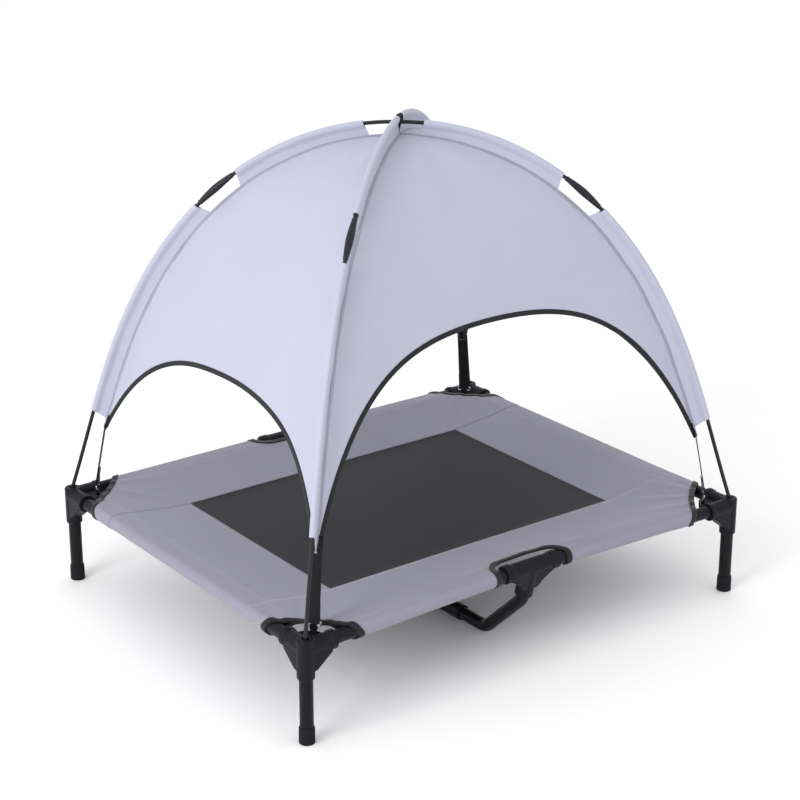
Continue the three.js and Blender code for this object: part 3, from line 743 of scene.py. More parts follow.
def cut_cloth(outline, a_lines, b_lines):
    """Flat points and triangles inside an outline, on a grid of lines and along the outline itself."""
    edge = [Vector(point) for point in outline]
    count = len(edge)
    inner = [Vector((a, b)) for a in a_lines for b in b_lines]
    bounds = [(i, (i + 1) % count) for i in range(count)]
    points, _, faces, *_ = delaunay_2d_cdt(edge + inner, bounds, [list(range(count))], 1, 1e-6)
    flat = np.array([point[:] for point in points])
    used = sorted({i for face in faces for i in face})
    renamed = {old: new for new, old in enumerate(used)}
    return flat[used], [tuple(renamed[i] for i in face) for face in faces]


def sewn_piece(name, outline, a_lines, b_lines, place, finish, lift=0.0, thickness=CLOTH):
    """A cloth piece: cut flat, laid on its surface and given its thickness. Its UVs are its flat places.
    Returns the piece, its flat area, and its flat width and length."""
    flat, faces = cut_cloth(outline, a_lines, b_lines)
    points, _ = surface(place, flat[:, 0], flat[:, 1], lift)
    mesh = bpy.data.meshes.new(name)
    mesh.from_pydata(points.tolist(), [], faces)
    layer = mesh.uv_layers.new(name="flat")
    corners = [0] * len(mesh.loops)
    mesh.loops.foreach_get("vertex_index", corners)
    layer.data.foreach_set("uv", flat[corners].ravel())
    mesh.shade_smooth()
    piece = linked(name, mesh, finish)
    solid = piece.modifiers.new("thickness", "SOLIDIFY")
    solid.thickness = thickness
    solid.offset = 0
    settle(piece)
    ring = np.array(outline)
    following = np.roll(ring, -1, 0)
    area = abs(float(np.sum(ring[:, 0] * following[:, 1] - following[:, 0] * ring[:, 1]))) / 2
    return piece, area, [float(size) for size in np.ptp(ring, axis=0)]


def woven(name, light, dark, pitch, roughness, sheen, relief, painted_gap_shade=0.0):
    """A plain weave on the piece's flat UVs: threads that pass over and under in turn, with fibre noise. Its
    colour is painted darker in the valleys between threads, as shade, and an open weave also has painted
    shade in the gaps between its threads."""
    finish = Finish(name, Sheen_Weight=sheen, Sheen_Roughness=0.45, Specular_IOR_Level=0.3)
    across, down = (place * (1 / pitch) for place in finish.flat_places())
    arch_across = across.ridge()
    arch_down = down.ridge()
    over = ((across - across % 1) + (down - down % 1)) % 2 > 0.5
    warp = arch_across * (0.6 + 0.4 * arch_down)
    weft = arch_down * (0.6 + 0.4 * arch_across)
    thread = over * warp + (1 - over) * weft
    fibre = finish.noise(2600, 2)
    cloud = finish.noise(9, 3)
    slub = finish.noise(160, 2, (1, 0.12, 1))
    # Painted shade: the thread term darkens the colour in the valleys between threads.
    share = 0.35 + 0.4 * thread + 0.12 * (fibre - 0.5) + 0.3 * (cloud - 0.5) + 0.16 * (slub - 0.5)
    # Painted shade: the gaps between threads are darkened to stand for the openings of the mesh.
    if painted_gap_shade:
        share = share - painted_gap_shade * ((arch_across > 0.28) * (arch_down > 0.28) * -1 + 1)
    height = thread + 0.25 * fibre + 0.2 * slub
    colour = finish.mixed(dark, light, share)
    return finish.show(colour, roughness + 0.08 * (0.5 - thread), height, relief, 0.5)


def steps_between(start, end, spacing):
    count = max(1, round(math.dist(start, end) / spacing))
    return [tuple(np.add(start, np.subtract(end, start) * k / count)) for k in range(count)]


def around(corners, spacing):
    """Even steps round a closed figure."""
    outline = []
    for start, end in zip(corners, corners[1:] + corners[:1]):
        outline += steps_between(start, end, spacing)
    return outline


def scoop_reach(past):
    """How far along a rail from the leg the cut crosses its tunnel, at a flat distance past the crest. The
    underside is the mirror of the outside, folded along the tunnel."""
    past = FOLD - np.abs(past - FOLD)
    return np.sqrt(SCOOP_R ** 2 - (SCOOP_OUT - past) ** 2) - SCOOP_OUT


def scoop_edge(x, y):
    """The cut edge at one corner, from the end of the side tunnel round to the end of the long one."""
    past = np.append(np.arange(0, TUNNEL_END - HEM_IN, EDGE_STEP), TUNNEL_END - HEM_IN)
    side = [(LEG_X + p, LEG_Y - scoop_reach(p)) for p in past[::-1]]
    long = [(LEG_X - scoop_reach(p), LEG_Y + p) for p in past]
    start = math.asin(SCOOP_OUT / SCOOP_R)
    arc = []
    for step in range(1, 36):
        angle = start + (math.pi / 2 - 2 * start) * (1 - step / 36)
        across, down = SCOOP_R * math.cos(angle), SCOOP_R * math.sin(angle)
        arc.append((LEG_X + SCOOP_OUT - across, LEG_Y + SCOOP_OUT - down))
    return [(x * float(a), y * float(b)) for a, b in side + arc + long]


def slot_edge(y):
    """The cut edge over one tee, from left to right."""
    edge_b = SEW_Y + TUNNEL_END
    bend_from, bend_to = (SLOT_HALF, LEG_Y + 4 * MM), (SLOT_HALF - 36 * MM, LEG_Y - SLOT_DEPTH)
    control = (SLOT_HALF - 2 * MM, LEG_Y - SLOT_DEPTH + 1 * MM)
    half = steps_between((SLOT_HALF, edge_b), bend_from, EDGE_STEP)
    for step in range(15):
        t = step / 14
        half.append(tuple((1 - t) ** 2 * p + 2 * t * (1 - t) * q + t * t * r
                          for p, q, r in zip(bend_from, control, bend_to)))
    half += steps_between(bend_to, (0, bend_to[1]), EDGE_STEP)[1:]
    left = [(-a, y * b) for a, b in half]
    right = [(a, y * b) for a, b in reversed(half)]
    return left + [(0, y * bend_to[1])] + right


OXFORD = woven("grey_oxford", (0.3, 0.293, 0.366), (0.212, 0.206, 0.266), 0.85 * MM, 0.78, 0.2, 0.12 * MM)
MESH = woven("charcoal_mesh", (0.0175, 0.0175, 0.027), (0.006, 0.006, 0.01), 1.5 * MM, 0.7, 0.06, 0.3 * MM,
             0.5)
long_edge = SEW_Y + TUNNEL_END
side_edge = SEW_X + TUNNEL_END
a_fine = spaced(-side_edge, side_edge, SEW_X - 8 * MM, GRID, FINE_GRID)
b_fine = spaced(MESH_Y, long_edge, SEW_Y - 8 * MM, GRID, FINE_GRID)
tail_reach = float(scoop_reach(TUNNEL_END - HEM_IN))
sewn_reach = float(scoop_reach(-HEM_IN))

outline = around([(x * (MESH_X + OVERLAP), y * (MESH_Y + OVERLAP)) for x, y in CORNERS.values()], GRID)
a_lines = spaced(-MESH_X - 4 * MM, MESH_X + 4 * MM, 1, GRID, GRID)
b_lines = spaced(-MESH_Y - 4 * MM, MESH_Y + 4 * MM, 1, GRID, GRID)
mesh_cloth, area, flat_size = sewn_piece("mesh_centre", outline, a_lines, b_lines, sling_point, MESH, -LAP)
fitted(mesh_cloth, "frame", "mesh_charcoal", "sling_mesh_centre")

for side, x in (("left", -1), ("right", 1)):
    corners = [(x * MESH_X, -MESH_Y - OVERLAP), (x * side_edge, -MESH_Y - OVERLAP),
               (x * side_edge, MESH_Y + OVERLAP), (x * MESH_X, MESH_Y + OVERLAP)]
    outline = around(corners, EDGE_STEP)[::x]
    a_lines = [a for a in a_fine if MESH_X + 2 * MM < x * a < side_edge - MM]
    b_lines = spaced(-MESH_Y - OVERLAP + 3 * MM, MESH_Y + OVERLAP - 2 * MM, 1, GRID, GRID)
    border, area, flat_size = sewn_piece(f"oxford_border_{side}", outline, a_lines, b_lines,
                                         sling_point, OXFORD)
    fitted(border, "frame", "oxford_grey", f"sling_border_{side}")

for side, y in (("front", -1), ("back", 1)):
    hem = y * long_edge
    outline = [(a, y * MESH_Y) for a in np.arange(-side_edge, side_edge, EDGE_STEP)]
    outline += [(side_edge, y * b) for b in np.arange(MESH_Y, LEG_Y - tail_reach - MM, EDGE_STEP)]
    outline += scoop_edge(1, y)
    outline += steps_between((LEG_X - tail_reach, hem), (SLOT_HALF, hem), EDGE_STEP)[1:]
    outline += slot_edge(y)[::-1]
    outline += steps_between((-SLOT_HALF, hem), (tail_reach - LEG_X, hem), EDGE_STEP)[1:]
    outline += scoop_edge(-1, y)[::-1]
    outline += [(-side_edge, y * b)
                for b in np.arange(LEG_Y - tail_reach - EDGE_STEP, MESH_Y + MM, -EDGE_STEP)]
    b_lines = [y * b for b in b_fine[1:]]
    border, area, flat_size = sewn_piece(f"oxford_border_{side}", outline[::-y], a_fine, b_lines,
                                         sling_point, OXFORD, LAP)
    fitted(border, "frame", "oxford_grey", f"sling_border_{side}")

# ---- sling bindings ------------------------------------------------------------------------------
# Black ribbed tape is folded over every cut edge: round the scoop at each corner, so the connector stands
# free of the cloth, and round the slot over each tee. It runs on under the rail to the end of the hem.
TAPE_WIDE = 10 * MM
TAPE_THICK = 4.2 * MM


def ribbed_tape(name, colour, deep):
    """Woven tape: fine ribs across its length, on its own UVs, its colour painted darker between the ribs as
    shade.
    """
    finish = Finish(name, Sheen_Weight=0.2, Sheen_Roughness=0.4, Specular_IOR_Level=0.3)
    rib = (finish.flat_places()[0] * (1 / (0.9 * MM))).ridge()
    fibre = finish.noise(2400, 3)
    cloud = finish.noise(50, 3)
    # Painted shade: the rib term darkens the colour in the grooves between ribs.
    share = 0.25 + 0.4 * rib + 0.25 * (fibre - 0.5) + 0.3 * (cloud - 0.5)
    roughness = 0.75 + 0.1 * (0.5 - rib)
    return finish.show(finish.mixed(deep, colour, share), roughness, rib + 0.3 * fibre, 0.15 * MM, 0.6)


def with_lengths(piece, rings, lengths, girth):
    """Gives a carried piece UVs of its length and girth, for patterns that follow it. Call it while its
    points still stand in ring order."""
    layer = piece.data.uv_layers.new(name="flat")
    for loop, spot in zip(piece.data.loops, layer.data):
        ring, place = divmod(loop.vertex_index, len(rings[0]))
        spot.uv = (lengths[min(ring, len(lengths) - 1)], girth[place])
    return piece


def lengths_along(path):
    run = [0.0]
    for start, end in zip(path, path[1:]):
        run.append(run[-1] + (end - start).length)
    return run


def fold_section(wide, thick, over):
    """A flattened fold: square at the sewn side, round over the cloth's edge."""
    half = thick / 2
    section = [(-over * 0.4, half), (wide - over - 0.3 * MM, half * 0.86), (wide - over, half * 0.5),
               (wide - over, -half * 0.5), (wide - over - 0.3 * MM, -half * 0.86), (-over * 0.4, -half)]
    section += [(-over * 0.85, -half * 0.75), (-over, 0), (-over * 0.85, half * 0.75)]
    return section


def edge_tape(name, flat_edge, place, finish, inside, wide=TAPE_WIDE, thick=TAPE_THICK, lift=0.0):
    """A binding along a flat edge of a mapped cloth. `inside` is a flat place on the cloth's own side."""
    a, b = np.array(flat_edge).T
    points, out = surface(place, a, b, lift)
    path = [Vector(point) for point in points]
    normals = [Vector(direction) for direction in out]
    middle = len(path) // 2
    along = (path[middle + 1] - path[middle - 1]).normalized()
    towards = Vector(surface(place, [inside[0]], [inside[1]])[0][0]) - path[middle]
    side = 1 if normals[middle].cross(along).dot(towards) > 0 else -1
    section = fold_section(wide, thick, thick * 0.45)
    rings = []
    for i, point in enumerate(path):
        inward = normals[i].cross(ahead_at(path, i)).normalized() * side
        rings.append([point + inward * p + normals[i] * q for p, q in section])
    piece = made(name, *skinned(rings), finish, 50)
    return with_lengths(piece, rings, lengths_along(path), [p for p, _ in section])


TAPE = ribbed_tape("black_tape", (0.015, 0.015, 0.02), (0.005, 0.005, 0.0075))
for corner, (x, y) in CORNERS.items():
    tape = edge_tape(f"corner_binding_{corner}", scoop_edge(x, y), sling_point, TAPE,
                     (x * MESH_X, y * MESH_Y), lift=LAP)
    fitted(tape, "frame", "webbing_black")
for side, y in (("front", -1), ("back", 1)):
    tape = edge_tape(f"slot_binding_{side}", slot_edge(y), sling_point, TAPE, (0, y * MESH_Y), lift=LAP)
    fitted(tape, "frame", "webbing_black")

# ---- canopy rods ---------------------------------------------------------------------------------
# Two flexed fibreglass rods cross at the crown, one over the other, and stand in the corner connectors.
# Each is three lengths, pushed together in spindle-shaped ferrules halfway down each side.
ROD_R = 3.25 * MM
CROWN_Z = (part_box("pole_a_middle")[1].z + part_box("pole_b_middle")[1].z) / 2 - ROD_R
HALF_DIAGONAL = math.hypot(LEG_X, LEG_Y)
CROSS_LIFT = 4 * MM
FERRULE_HALF = 38 * MM
GAP_FROM, GAP_TO = 292 * MM, 383 * MM
ROD_SPLIT = 10 * MM
ROD_FOOT = 153 * MM


def rod_black():
    finish = Finish("rod_black", Specular_IOR_Level=0.3, Coat_Weight=0.06, Coat_Roughness=0.25)
    strand = finish.noise(90, 4, (1, 1, 0.08))
    colour = finish.mixed((0.003, 0.003, 0.0045), (0.01, 0.01, 0.0135), strand)
    return finish.show(colour, 0.3 + 0.15 * strand, finish.noise(900, 2), 0.04 * MM)


def flexed_line():
    """Half a rod in its own upright plane: distance out from the crown, and height. Its slope grows fastest
    at the crown."""
    steps = 240
    t = (np.arange(steps) + 0.5) / steps
    slope = 2.145 * t - 0.9 * t ** 3
    out = np.concatenate([[0], np.cumsum(np.cos(slope))])
    drop = np.concatenate([[0], np.cumsum(np.sin(slope))])
    return out * HALF_DIAGONAL / out[-1], CROWN_Z - drop * (CROWN_Z - CONNECTOR_TOP) / drop[-1]


LINE_OUT, LINE_HIGH = flexed_line()


def offset_line(offset, lift=0.0):
    """The half rod's line moved in towards the canopy, and lifted near the crown, with its length run."""
    out_step, high_step = np.gradient(LINE_OUT), np.gradient(LINE_HIGH)
    run = np.hypot(out_step, high_step)
    out = LINE_OUT + offset * high_step / run
    high = LINE_HIGH - offset * out_step / run + lift * (1 - LINE_OUT / HALF_DIAGONAL) ** 2
    length = np.concatenate([[0], np.cumsum(np.hypot(np.diff(out), np.diff(high)))])
    return out, high, length


def corner_direction(x, y):
    return Vector((x * LEG_X, y * LEG_Y, 0)).normalized()


def line_path(direction, lift, start, end, step=7 * MM):
    """Points along a half rod's line, between two distances from the crown along the rod itself."""
    out, high, _ = offset_line(0.0, lift)
    run = offset_line(0.0)[2]
    marks = np.linspace(start, end, max(2, round((end - start) / step)) + 1)
    places = zip(np.interp(marks, run, out), np.interp(marks, run, high))
    return [direction * float(o) + UP * float(h) for o, h in places]


def solid_rod(name, path, side):
    """A solid round rod along a path, its ends eased."""
    ease = 0.5 * MM
    ahead, back = (path[1] - path[0]).normalized(), (path[-2] - path[-1]).normalized()
    path = [path[0], path[0] + ahead * ease, *path[1:-1], path[-1] + back * ease, path[-1]]

    def section(i):
        return circle(ROD_R - ease if i in (0, len(path) - 1) else ROD_R, 20)

    return made(name, *skinned(carried(path, section, side)), ROD_BLACK)


def lift_of(x, y):
    return CROSS_LIFT if x == y else -CROSS_LIFT


def letter_of(x, y):
    return "a" if x == y else "b"


ROD_BLACK = rod_black()
ROD_RUN = float(offset_line(0.0)[2][-1])
ferrule_at = (GAP_FROM + GAP_TO) / 2
for corner, (x, y) in CORNERS.items():
    direction, lift = corner_direction(x, y), lift_of(x, y)
    side = direction.cross(UP)
    path = line_path(direction, lift, ferrule_at + ROD_SPLIT, ROD_RUN - 2 * MM)
    foot = direction * HALF_DIAGONAL
    path += [foot + UP * (CONNECTOR_TOP - 6 * MM), foot + UP * ROD_FOOT]
    lower = solid_rod(f"rod_lower_{corner}", path, side)
    fitted(lower, "canopy", "rod_black", f"pole_{letter_of(x, y)}_lower_{corner}")

for x, y in ((-1, -1), (1, -1)):
    direction, lift, letter = corner_direction(x, y), lift_of(x, y), letter_of(x, y)
    half = line_path(direction, lift, 0, ferrule_at - ROD_SPLIT)
    other = [Vector((-point.x, -point.y, point.z)) for point in reversed(half[1:])]
    middle = solid_rod(f"rod_middle_{letter}", other + half, direction.cross(UP))
    fitted(middle, "canopy", "rod_black", f"pole_{letter}_middle")


def spindle(name, path, side):
    """A ferrule: thick in the middle, drawn down to a small lip at each end, bored for both rods."""
    last = len(path) - 1

    def outside(i):
        t = abs(2 * i / last - 1)
        lip = 0.5 * MM if 0.9 < t < 0.985 else 0
        return circle(3.9 * MM + 2.6 * MM * (1 - t ** 1.5) + lip - (0.4 * MM if t > 0.99 else 0), 28)

    bore = circle(ROD_R + 0.2 * MM, 28)
    rings = carried(path, outside, side) + carried(path, bore, side)[::-1]
    return made(name, *skinned(rings, closed=True), FERRULE)


def ferrule_vinyl():
    finish = Finish("ferrule_vinyl", Specular_IOR_Level=0.3)
    cloud = finish.noise(80, 3)
    grain = finish.noise(1500, 3)
    colour = finish.mixed((0.006, 0.006, 0.009), (0.014, 0.014, 0.019), cloud)
    return finish.show(colour, 0.38 + 0.12 * grain, grain, 0.08 * MM)


FERRULE = ferrule_vinyl()
for corner, (x, y) in CORNERS.items():
    direction, lift = corner_direction(x, y), lift_of(x, y)
    path = line_path(direction, lift, ferrule_at - FERRULE_HALF, ferrule_at + FERRULE_HALF, step=2 * MM)
    ferrule = spindle(f"spindle_ferrule_{corner}", path, direction.cross(UP))
    fitted(ferrule, "canopy", "rod_black", f"pole_ferrule_{corner}")

# ---- canopy panels -------------------------------------------------------------------------------
# Four panels of light grey coated oxford make the dome. Each is a single curved sheet, sewn to its
# neighbours under the rods, and its lower edge is cut away in an arch between two corner tips.
SKIN_OFFSET = 25 * MM
TIP_Z = 292 * MM
ARCH_SIDE_TOP = 469 * MM
ARCH_FRONT_TOP = 565 * MM
PANELS = {"right": (0, LEG_X, LEG_Y, ARCH_SIDE_TOP), "back": (1, LEG_Y, LEG_X, ARCH_FRONT_TOP),
          "left": (2, LEG_X, LEG_Y, ARCH_SIDE_TOP), "front": (3, LEG_Y, LEG_X, ARCH_FRONT_TOP)}
TIP_WIDE = 7 * MM
PANEL_CLOTH = 0.6 * MM
PANEL_GRID = 7.5 * MM
SEAM_GAP = 0.8 * MM
ARCH_TAPE_WIDE = 8.5 * MM
ARCH_TAPE_THICK = 2.4 * MM
SEAM_OUT, SEAM_HIGH, _ = offset_line(SKIN_OFFSET)


class Panel:
    """One canopy panel: `depth` is how far out it reaches, and `span` half its width, both at the corners."""

    def __init__(self, quarter, depth, span, arch_top):
        self.turn = Matrix.Rotation(quarter * math.pi / 2, 3, "Z")
        self.arch_top = arch_top
        self.out = SEAM_OUT * depth / HALF_DIAGONAL
        self.half = SEAM_OUT * span / HALF_DIAGONAL
        self.run = np.concatenate([[0], np.cumsum(np.hypot(np.diff(self.out), np.diff(SEAM_HIGH)))])
        self.tip_run = float(np.interp(-TIP_Z, -SEAM_HIGH, self.run))
        self.foot = float(np.interp(self.tip_run, self.run, self.half)) - TIP_WIDE

    def place(self, u, s):
        """Flat places, across and down from the crown, taken to where the cloth lies."""
        out, high = np.interp(s, self.run, self.out), np.interp(s, self.run, SEAM_HIGH)
        half = np.maximum(np.interp(s, self.run, self.half), 5 * MM)
        share = np.clip(1 - (u / half) ** 2, 0, 1)
        down = np.clip(s / self.tip_run, 0, 1)
        bow = 5 * MM * share * np.sin(np.pi * np.clip(down * 1.1, 0, 1))
        edge = np.exp(-(half - np.abs(u)) / (38 * MM)) * (share > 0)
        pull = 1.0 * MM * edge * np.sin(s / (17 * MM) + 1.3 * np.sign(u)) * np.sin(np.pi * down)
        rays = 1.5 * MM * np.sin(u / half * 9 + 2.2 * down) * share * np.exp(-((down - 0.12) / 0.13) ** 2)
        hem = 1.2 * MM * np.sin(u / (31 * MM) + 0.7) * share * np.exp(-((down - 0.74) / 0.16) ** 2)
        inward = bow + pull + rays + hem
        slope_out, slope_high = np.gradient(self.out, self.run), np.gradient(SEAM_HIGH, self.run)
        lean_out = np.interp(s, self.run, slope_high)
        lean_high = -np.interp(s, self.run, slope_out)
        local = np.stack([out + inward * lean_out, u, high + inward * lean_high], -1)
        return local @ np.array(self.turn).T

    def arch(self):
        """The arch's flat edge from one tip to the other."""
        rise = self.arch_top - TIP_Z
        stops = [(0, self.arch_top), (0.48 * self.foot, self.arch_top),
                 (0.76 * self.foot, TIP_Z + 0.81 * rise), (self.foot, TIP_Z)]
        half = []
        for t in np.linspace(0, 1, 70):
            weights = ((1 - t) ** 3, 3 * t * (1 - t) ** 2, 3 * t * t * (1 - t), t ** 3)
            u, z = (sum(w * stop[k] for w, stop in zip(weights, stops)) for k in (0, 1))
            half.append((float(u), float(np.interp(-z, -SEAM_HIGH, self.run))))
        return [(-u, s) for u, s in reversed(half[1:])] + half

    def seam(self, side, gap, start=5 * MM, step=5 * MM):
        """The flat edge along one seam, from the crown to the tip."""
        marks = np.linspace(start, self.tip_run, round((self.tip_run - start) / step))
        return [(side * (float(np.interp(s, self.run, self.half)) - gap), float(s)) for s in marks]


CANOPY = woven("canopy_oxford", (0.465, 0.47, 0.575), (0.375, 0.38, 0.478), 0.7 * MM, 0.72, 0.2, 0.08 * MM)
panels = {}
for side, (quarter, depth, span, top) in PANELS.items():
    panel = Panel(quarter, depth, span, top)
    panels[side] = panel
    outline = panel.seam(-1, SEAM_GAP)[:-1] + panel.arch() + panel.seam(1, SEAM_GAP)[-2::-1]
    u_lines = np.arange(-0.45, 0.45, PANEL_GRID)
    s_lines = np.arange(PANEL_GRID, panel.tip_run, PANEL_GRID)
    cloth, area, flat_size = sewn_piece(f"canopy_cloth_{side}", outline[::-1], u_lines, s_lines, panel.place,
                                        CANOPY, 0, PANEL_CLOTH)
    fitted(cloth, "canopy", "canopy_grey", f"canopy_panel_{side}")
    [f"pole_sleeve_upper_{corner}" for corner in CORNERS if side in corner]
    inside = (0, panel.tip_run * 0.3)
    tape = edge_tape(f"arch_binding_{side}", panel.arch(), panel.place, TAPE, inside, ARCH_TAPE_WIDE,
                     ARCH_TAPE_THICK)
    fitted(tape, "canopy", "webbing_black")

# ---- pole sleeves --------------------------------------------------------------------------------
# Each flap is one strip of canopy cloth folded over the rod, closed under it by a row of stitches and sewn
# into the seam between two panels. A window halfway down leaves the ferrule bare.
SLEEVE_END = 805 * MM
SLEEVE_TOP = {"front_left": 12 * MM, "back_right": 12 * MM, "back_left": 59 * MM, "front_right": 42 * MM}
SLEEVE_CLOTH = 0.5 * MM
CASING_STITCH = 10.5 * MM


def fold_outline(web):
    """Half of a folded flap, from its sewn edge up round the rod: across and outward places."""
    closed = [(0.42 * MM, -web), (0.42 * MM, -web * 0.75), (0.45 * MM, -CASING_STITCH - 2 * MM),
              (0.5 * MM, -CASING_STITCH)]
    casing = in_mm((1.1, -8.4), (2.7, -6), (4.2, -3.4), (4.85, -0.8), (4.6, 1.6), (3.6, 3.4), (1.9, 4.6),
                   (0, 5))
    return np.array(closed + casing)


def flap_section(web, sway):
    """The folded cloth's closed outline, outside then inside."""
    right = fold_outline(web)
    middle = np.vstack([right, (right * (-1, 1))[-2::-1]])
    step = np.gradient(middle, axis=0)
    step /= np.linalg.norm(step, axis=1, keepdims=True)
    out = np.stack([step[:, 1], -step[:, 0]], 1)
    middle[:, 0] += sway * np.clip(-middle[:, 1] / CASING_STITCH, 0, 1)
    half = SLEEVE_CLOTH / 2
    return [tuple(pair) for pair in np.vstack([middle + out * half, (middle - out * half)[::-1]])]


def flap(name, direction, lift, start, end):
    """A sleeve between two distances down a rod. Its ends are cut on a slant, longer at the seam."""
    path = line_path(direction, lift, start, end, step=6 * MM)
    reach = [lift * (1 - math.hypot(point.x, point.y) / HALF_DIAGONAL) ** 2 for point in path]
    run = lengths_along(path)

    def section(i):
        sway = 0.35 * MM * math.sin(run[i] / (19 * MM) + 20 * direction.x)
        return flap_section(SKIN_OFFSET + reach[i] + 0.3 * MM, sway)

    side = direction.cross(UP)
    rings = carried(path, section, side)
    slant = 9 * MM
    for i, ring in enumerate(rings):
        ahead = ahead_at(path, i)
        for k, (_, out) in enumerate(section(i)):
            deep = min(max(-out / SKIN_OFFSET, 0), 1)
            early, late = math.exp(-run[i] / (14 * MM)), math.exp(-(run[-1] - run[i]) / (14 * MM))
            ring[k] = ring[k] + ahead * slant * deep * (late - early)
    piece = made(name, *skinned(rings), CANOPY, 55)
    contour = np.array(section(0))
    girth = np.concatenate([[0], np.cumsum(np.linalg.norm(np.diff(contour, axis=0), axis=1))])
    with_lengths(piece, rings, run, girth.tolist())
    return piece, (girth[len(girth) // 2], run[-1])


sleeve_spans = {}
for corner, (x, y) in CORNERS.items():
    direction, lift, letter = corner_direction(x, y), lift_of(x, y), letter_of(x, y)
    for part, start, end in (("upper", SLEEVE_TOP[corner], GAP_FROM), ("lower", GAP_TO, SLEEVE_END)):
        sleeve, size = flap(f"sleeve_{part}_{corner}", direction, lift, start, end)
        fitted(sleeve, "canopy", "canopy_grey", f"pole_sleeve_{part}_{corner}")
        sleeve_spans[(part, corner)] = (start, end)

# ---- canopy seams --------------------------------------------------------------------------------
# The panels meet in a bound seam under each rod: a narrow hem on both sides and a piped bead between them,
# which closes the seam in the windows where no flap covers it.
# Hems, beads and the crown tab take cloth painted darker than the panels: painted shade along the seams.
HEM_WIDE = 6.5 * MM


def piped(name, points, radius, finish, sides=12):
    """A round bead or cord through points."""
    curve = bpy.data.curves.new(name, "CURVE")
    curve.dimensions = "3D"
    spline = curve.splines.new("POLY")
    spline.points.add(len(points) - 1)
    for spot, point in zip(spline.points, points):
        spot.co = (*point, 1)
    curve.bevel_depth = radius
    curve.bevel_resolution = sides // 4
    curve.use_fill_caps = True
    drawn = bpy.data.objects.new(name, curve)
    bpy.context.scene.collection.objects.link(drawn)
    seen = drawn.evaluated_get(bpy.context.evaluated_depsgraph_get())
    mesh = bpy.data.meshes.new_from_object(seen)
    bpy.data.objects.remove(drawn)
    return linked(name, welded(mesh), finish)


def shade_dark_cloth():
    """The doubled hem: the same cloth, painted a little darker as the shade along the seams."""
    finish = Finish("shade_dark_cloth", Sheen_Weight=0.15, Sheen_Roughness=0.45, Specular_IOR_Level=0.3)
    cloud = finish.noise(70, 3)
    fibre = finish.noise(2200, 2)
    # Painted shade: darker than the panels' cloth, for the shade along the seams.
    colour = finish.mixed((0.25, 0.25, 0.32), (0.35, 0.35, 0.435), cloud * 0.6 + fibre * 0.4)
    return finish.show(colour, 0.75 + 0.1 * fibre, fibre, 0.1 * MM, 0.5)


SHADE_DARK_CLOTH = shade_dark_cloth()
for side, panel in panels.items():
    for end in (-1, 1):
        edge = panel.seam(end, SEAM_GAP, 8 * MM, 8 * MM)
        name = f"seam_hem_{side}_{'low' if end < 0 else 'high'}"
        hem = edge_tape(name, edge, panel.place, SHADE_DARK_CLOTH, (0, panel.tip_run * 0.5), HEM_WIDE, 1.5 * MM)
        fitted(hem, "canopy", "canopy_grey")
for corner, (x, y) in CORNERS.items():
    direction = corner_direction(x, y)
    tip = int(np.argmax(SEAM_HIGH < TIP_Z))
    points = [direction * float(SEAM_OUT[i]) + UP * float(SEAM_HIGH[i]) for i in range(2, tip, 2)]
    bead = piped(f"seam_bead_{corner}", points, 1.2 * MM, SHADE_DARK_CLOTH, 8)
    fitted(bead, "canopy", "canopy_grey")

# ---- corner straps and hooks ---------------------------------------------------------------------
# Black webbing is sewn inside each canopy tip, runs down beside the rod, turns round a steel ring and is
# sewn back on itself. A moulded hook hangs from the ring, and its shank drops through the connector's web.
STRAP_WIDE = 20 * MM
STRAP_THICK = 1.5 * MM
STRAP_FOOT = HALF_DIAGONAL - HOOK_INSET
RING_WIRE = 1.3 * MM
RING_TOP = 185.2 * MM
RING_LOW = 178.6 * MM
HOOK_LOW = 150.7 * MM


def webbing():
    """Webbing: a herringbone of ribs across its width, its colour painted darker between the ribs as shade,
    and a painted highlight along each side.
    """
    finish = Finish("black_webbing", Sheen_Weight=0.1, Sheen_Roughness=0.4, Specular_IOR_Level=0.2)
    along, across = finish.flat_places()
    slope = abs(across * (1 / (5 * MM)) % 1 * 2 - 1)
    rib = (along * (1 / (1.3 * MM)) + slope * 1.6).ridge()
    # Painted highlight: a paler strip along each side of the strap.
    edge_highlight = abs(across) > STRAP_WIDE * 0.43
    fibre = finish.noise(2300, 3)
    # Painted shade: the rib term darkens the colour in the grooves between ribs.
    share = 0.2 + 0.35 * rib + 0.25 * (fibre - 0.5) + 0.4 * edge_highlight
    colour = finish.mixed((0.0025, 0.0025, 0.004), (0.011, 0.011, 0.0155), share)
    return finish.show(colour, 0.72, rib + 0.3 * fibre, 0.2 * MM, 0.6)


def ring_steel():
    finish = Finish("ring_steel", Metallic=1.0)
    cloud = finish.noise(300, 3)
    colour = finish.mixed((0.42, 0.42, 0.44), (0.62, 0.62, 0.64), cloud)
    return finish.show(colour, 0.25 + 0.2 * cloud, finish.noise(1500), 0.03 * MM)


def strap_section():
    """Flat webbing with round sides."""
    half, thin = STRAP_WIDE / 2, STRAP_THICK / 2
    top = []
    for a in np.linspace(-half + thin, half - thin, 17):
        top.append((a, thin * (0.9 if abs(a) > half * 0.88 else 1)))
    edge = [(half - 0.3 * thin, thin * 0.6), (half, 0), (half - 0.3 * thin, -thin * 0.6)]
    low = [(a, -b) for a, b in reversed(top)]
    return top + edge + low + [(-a, -b) for a, b in edge]


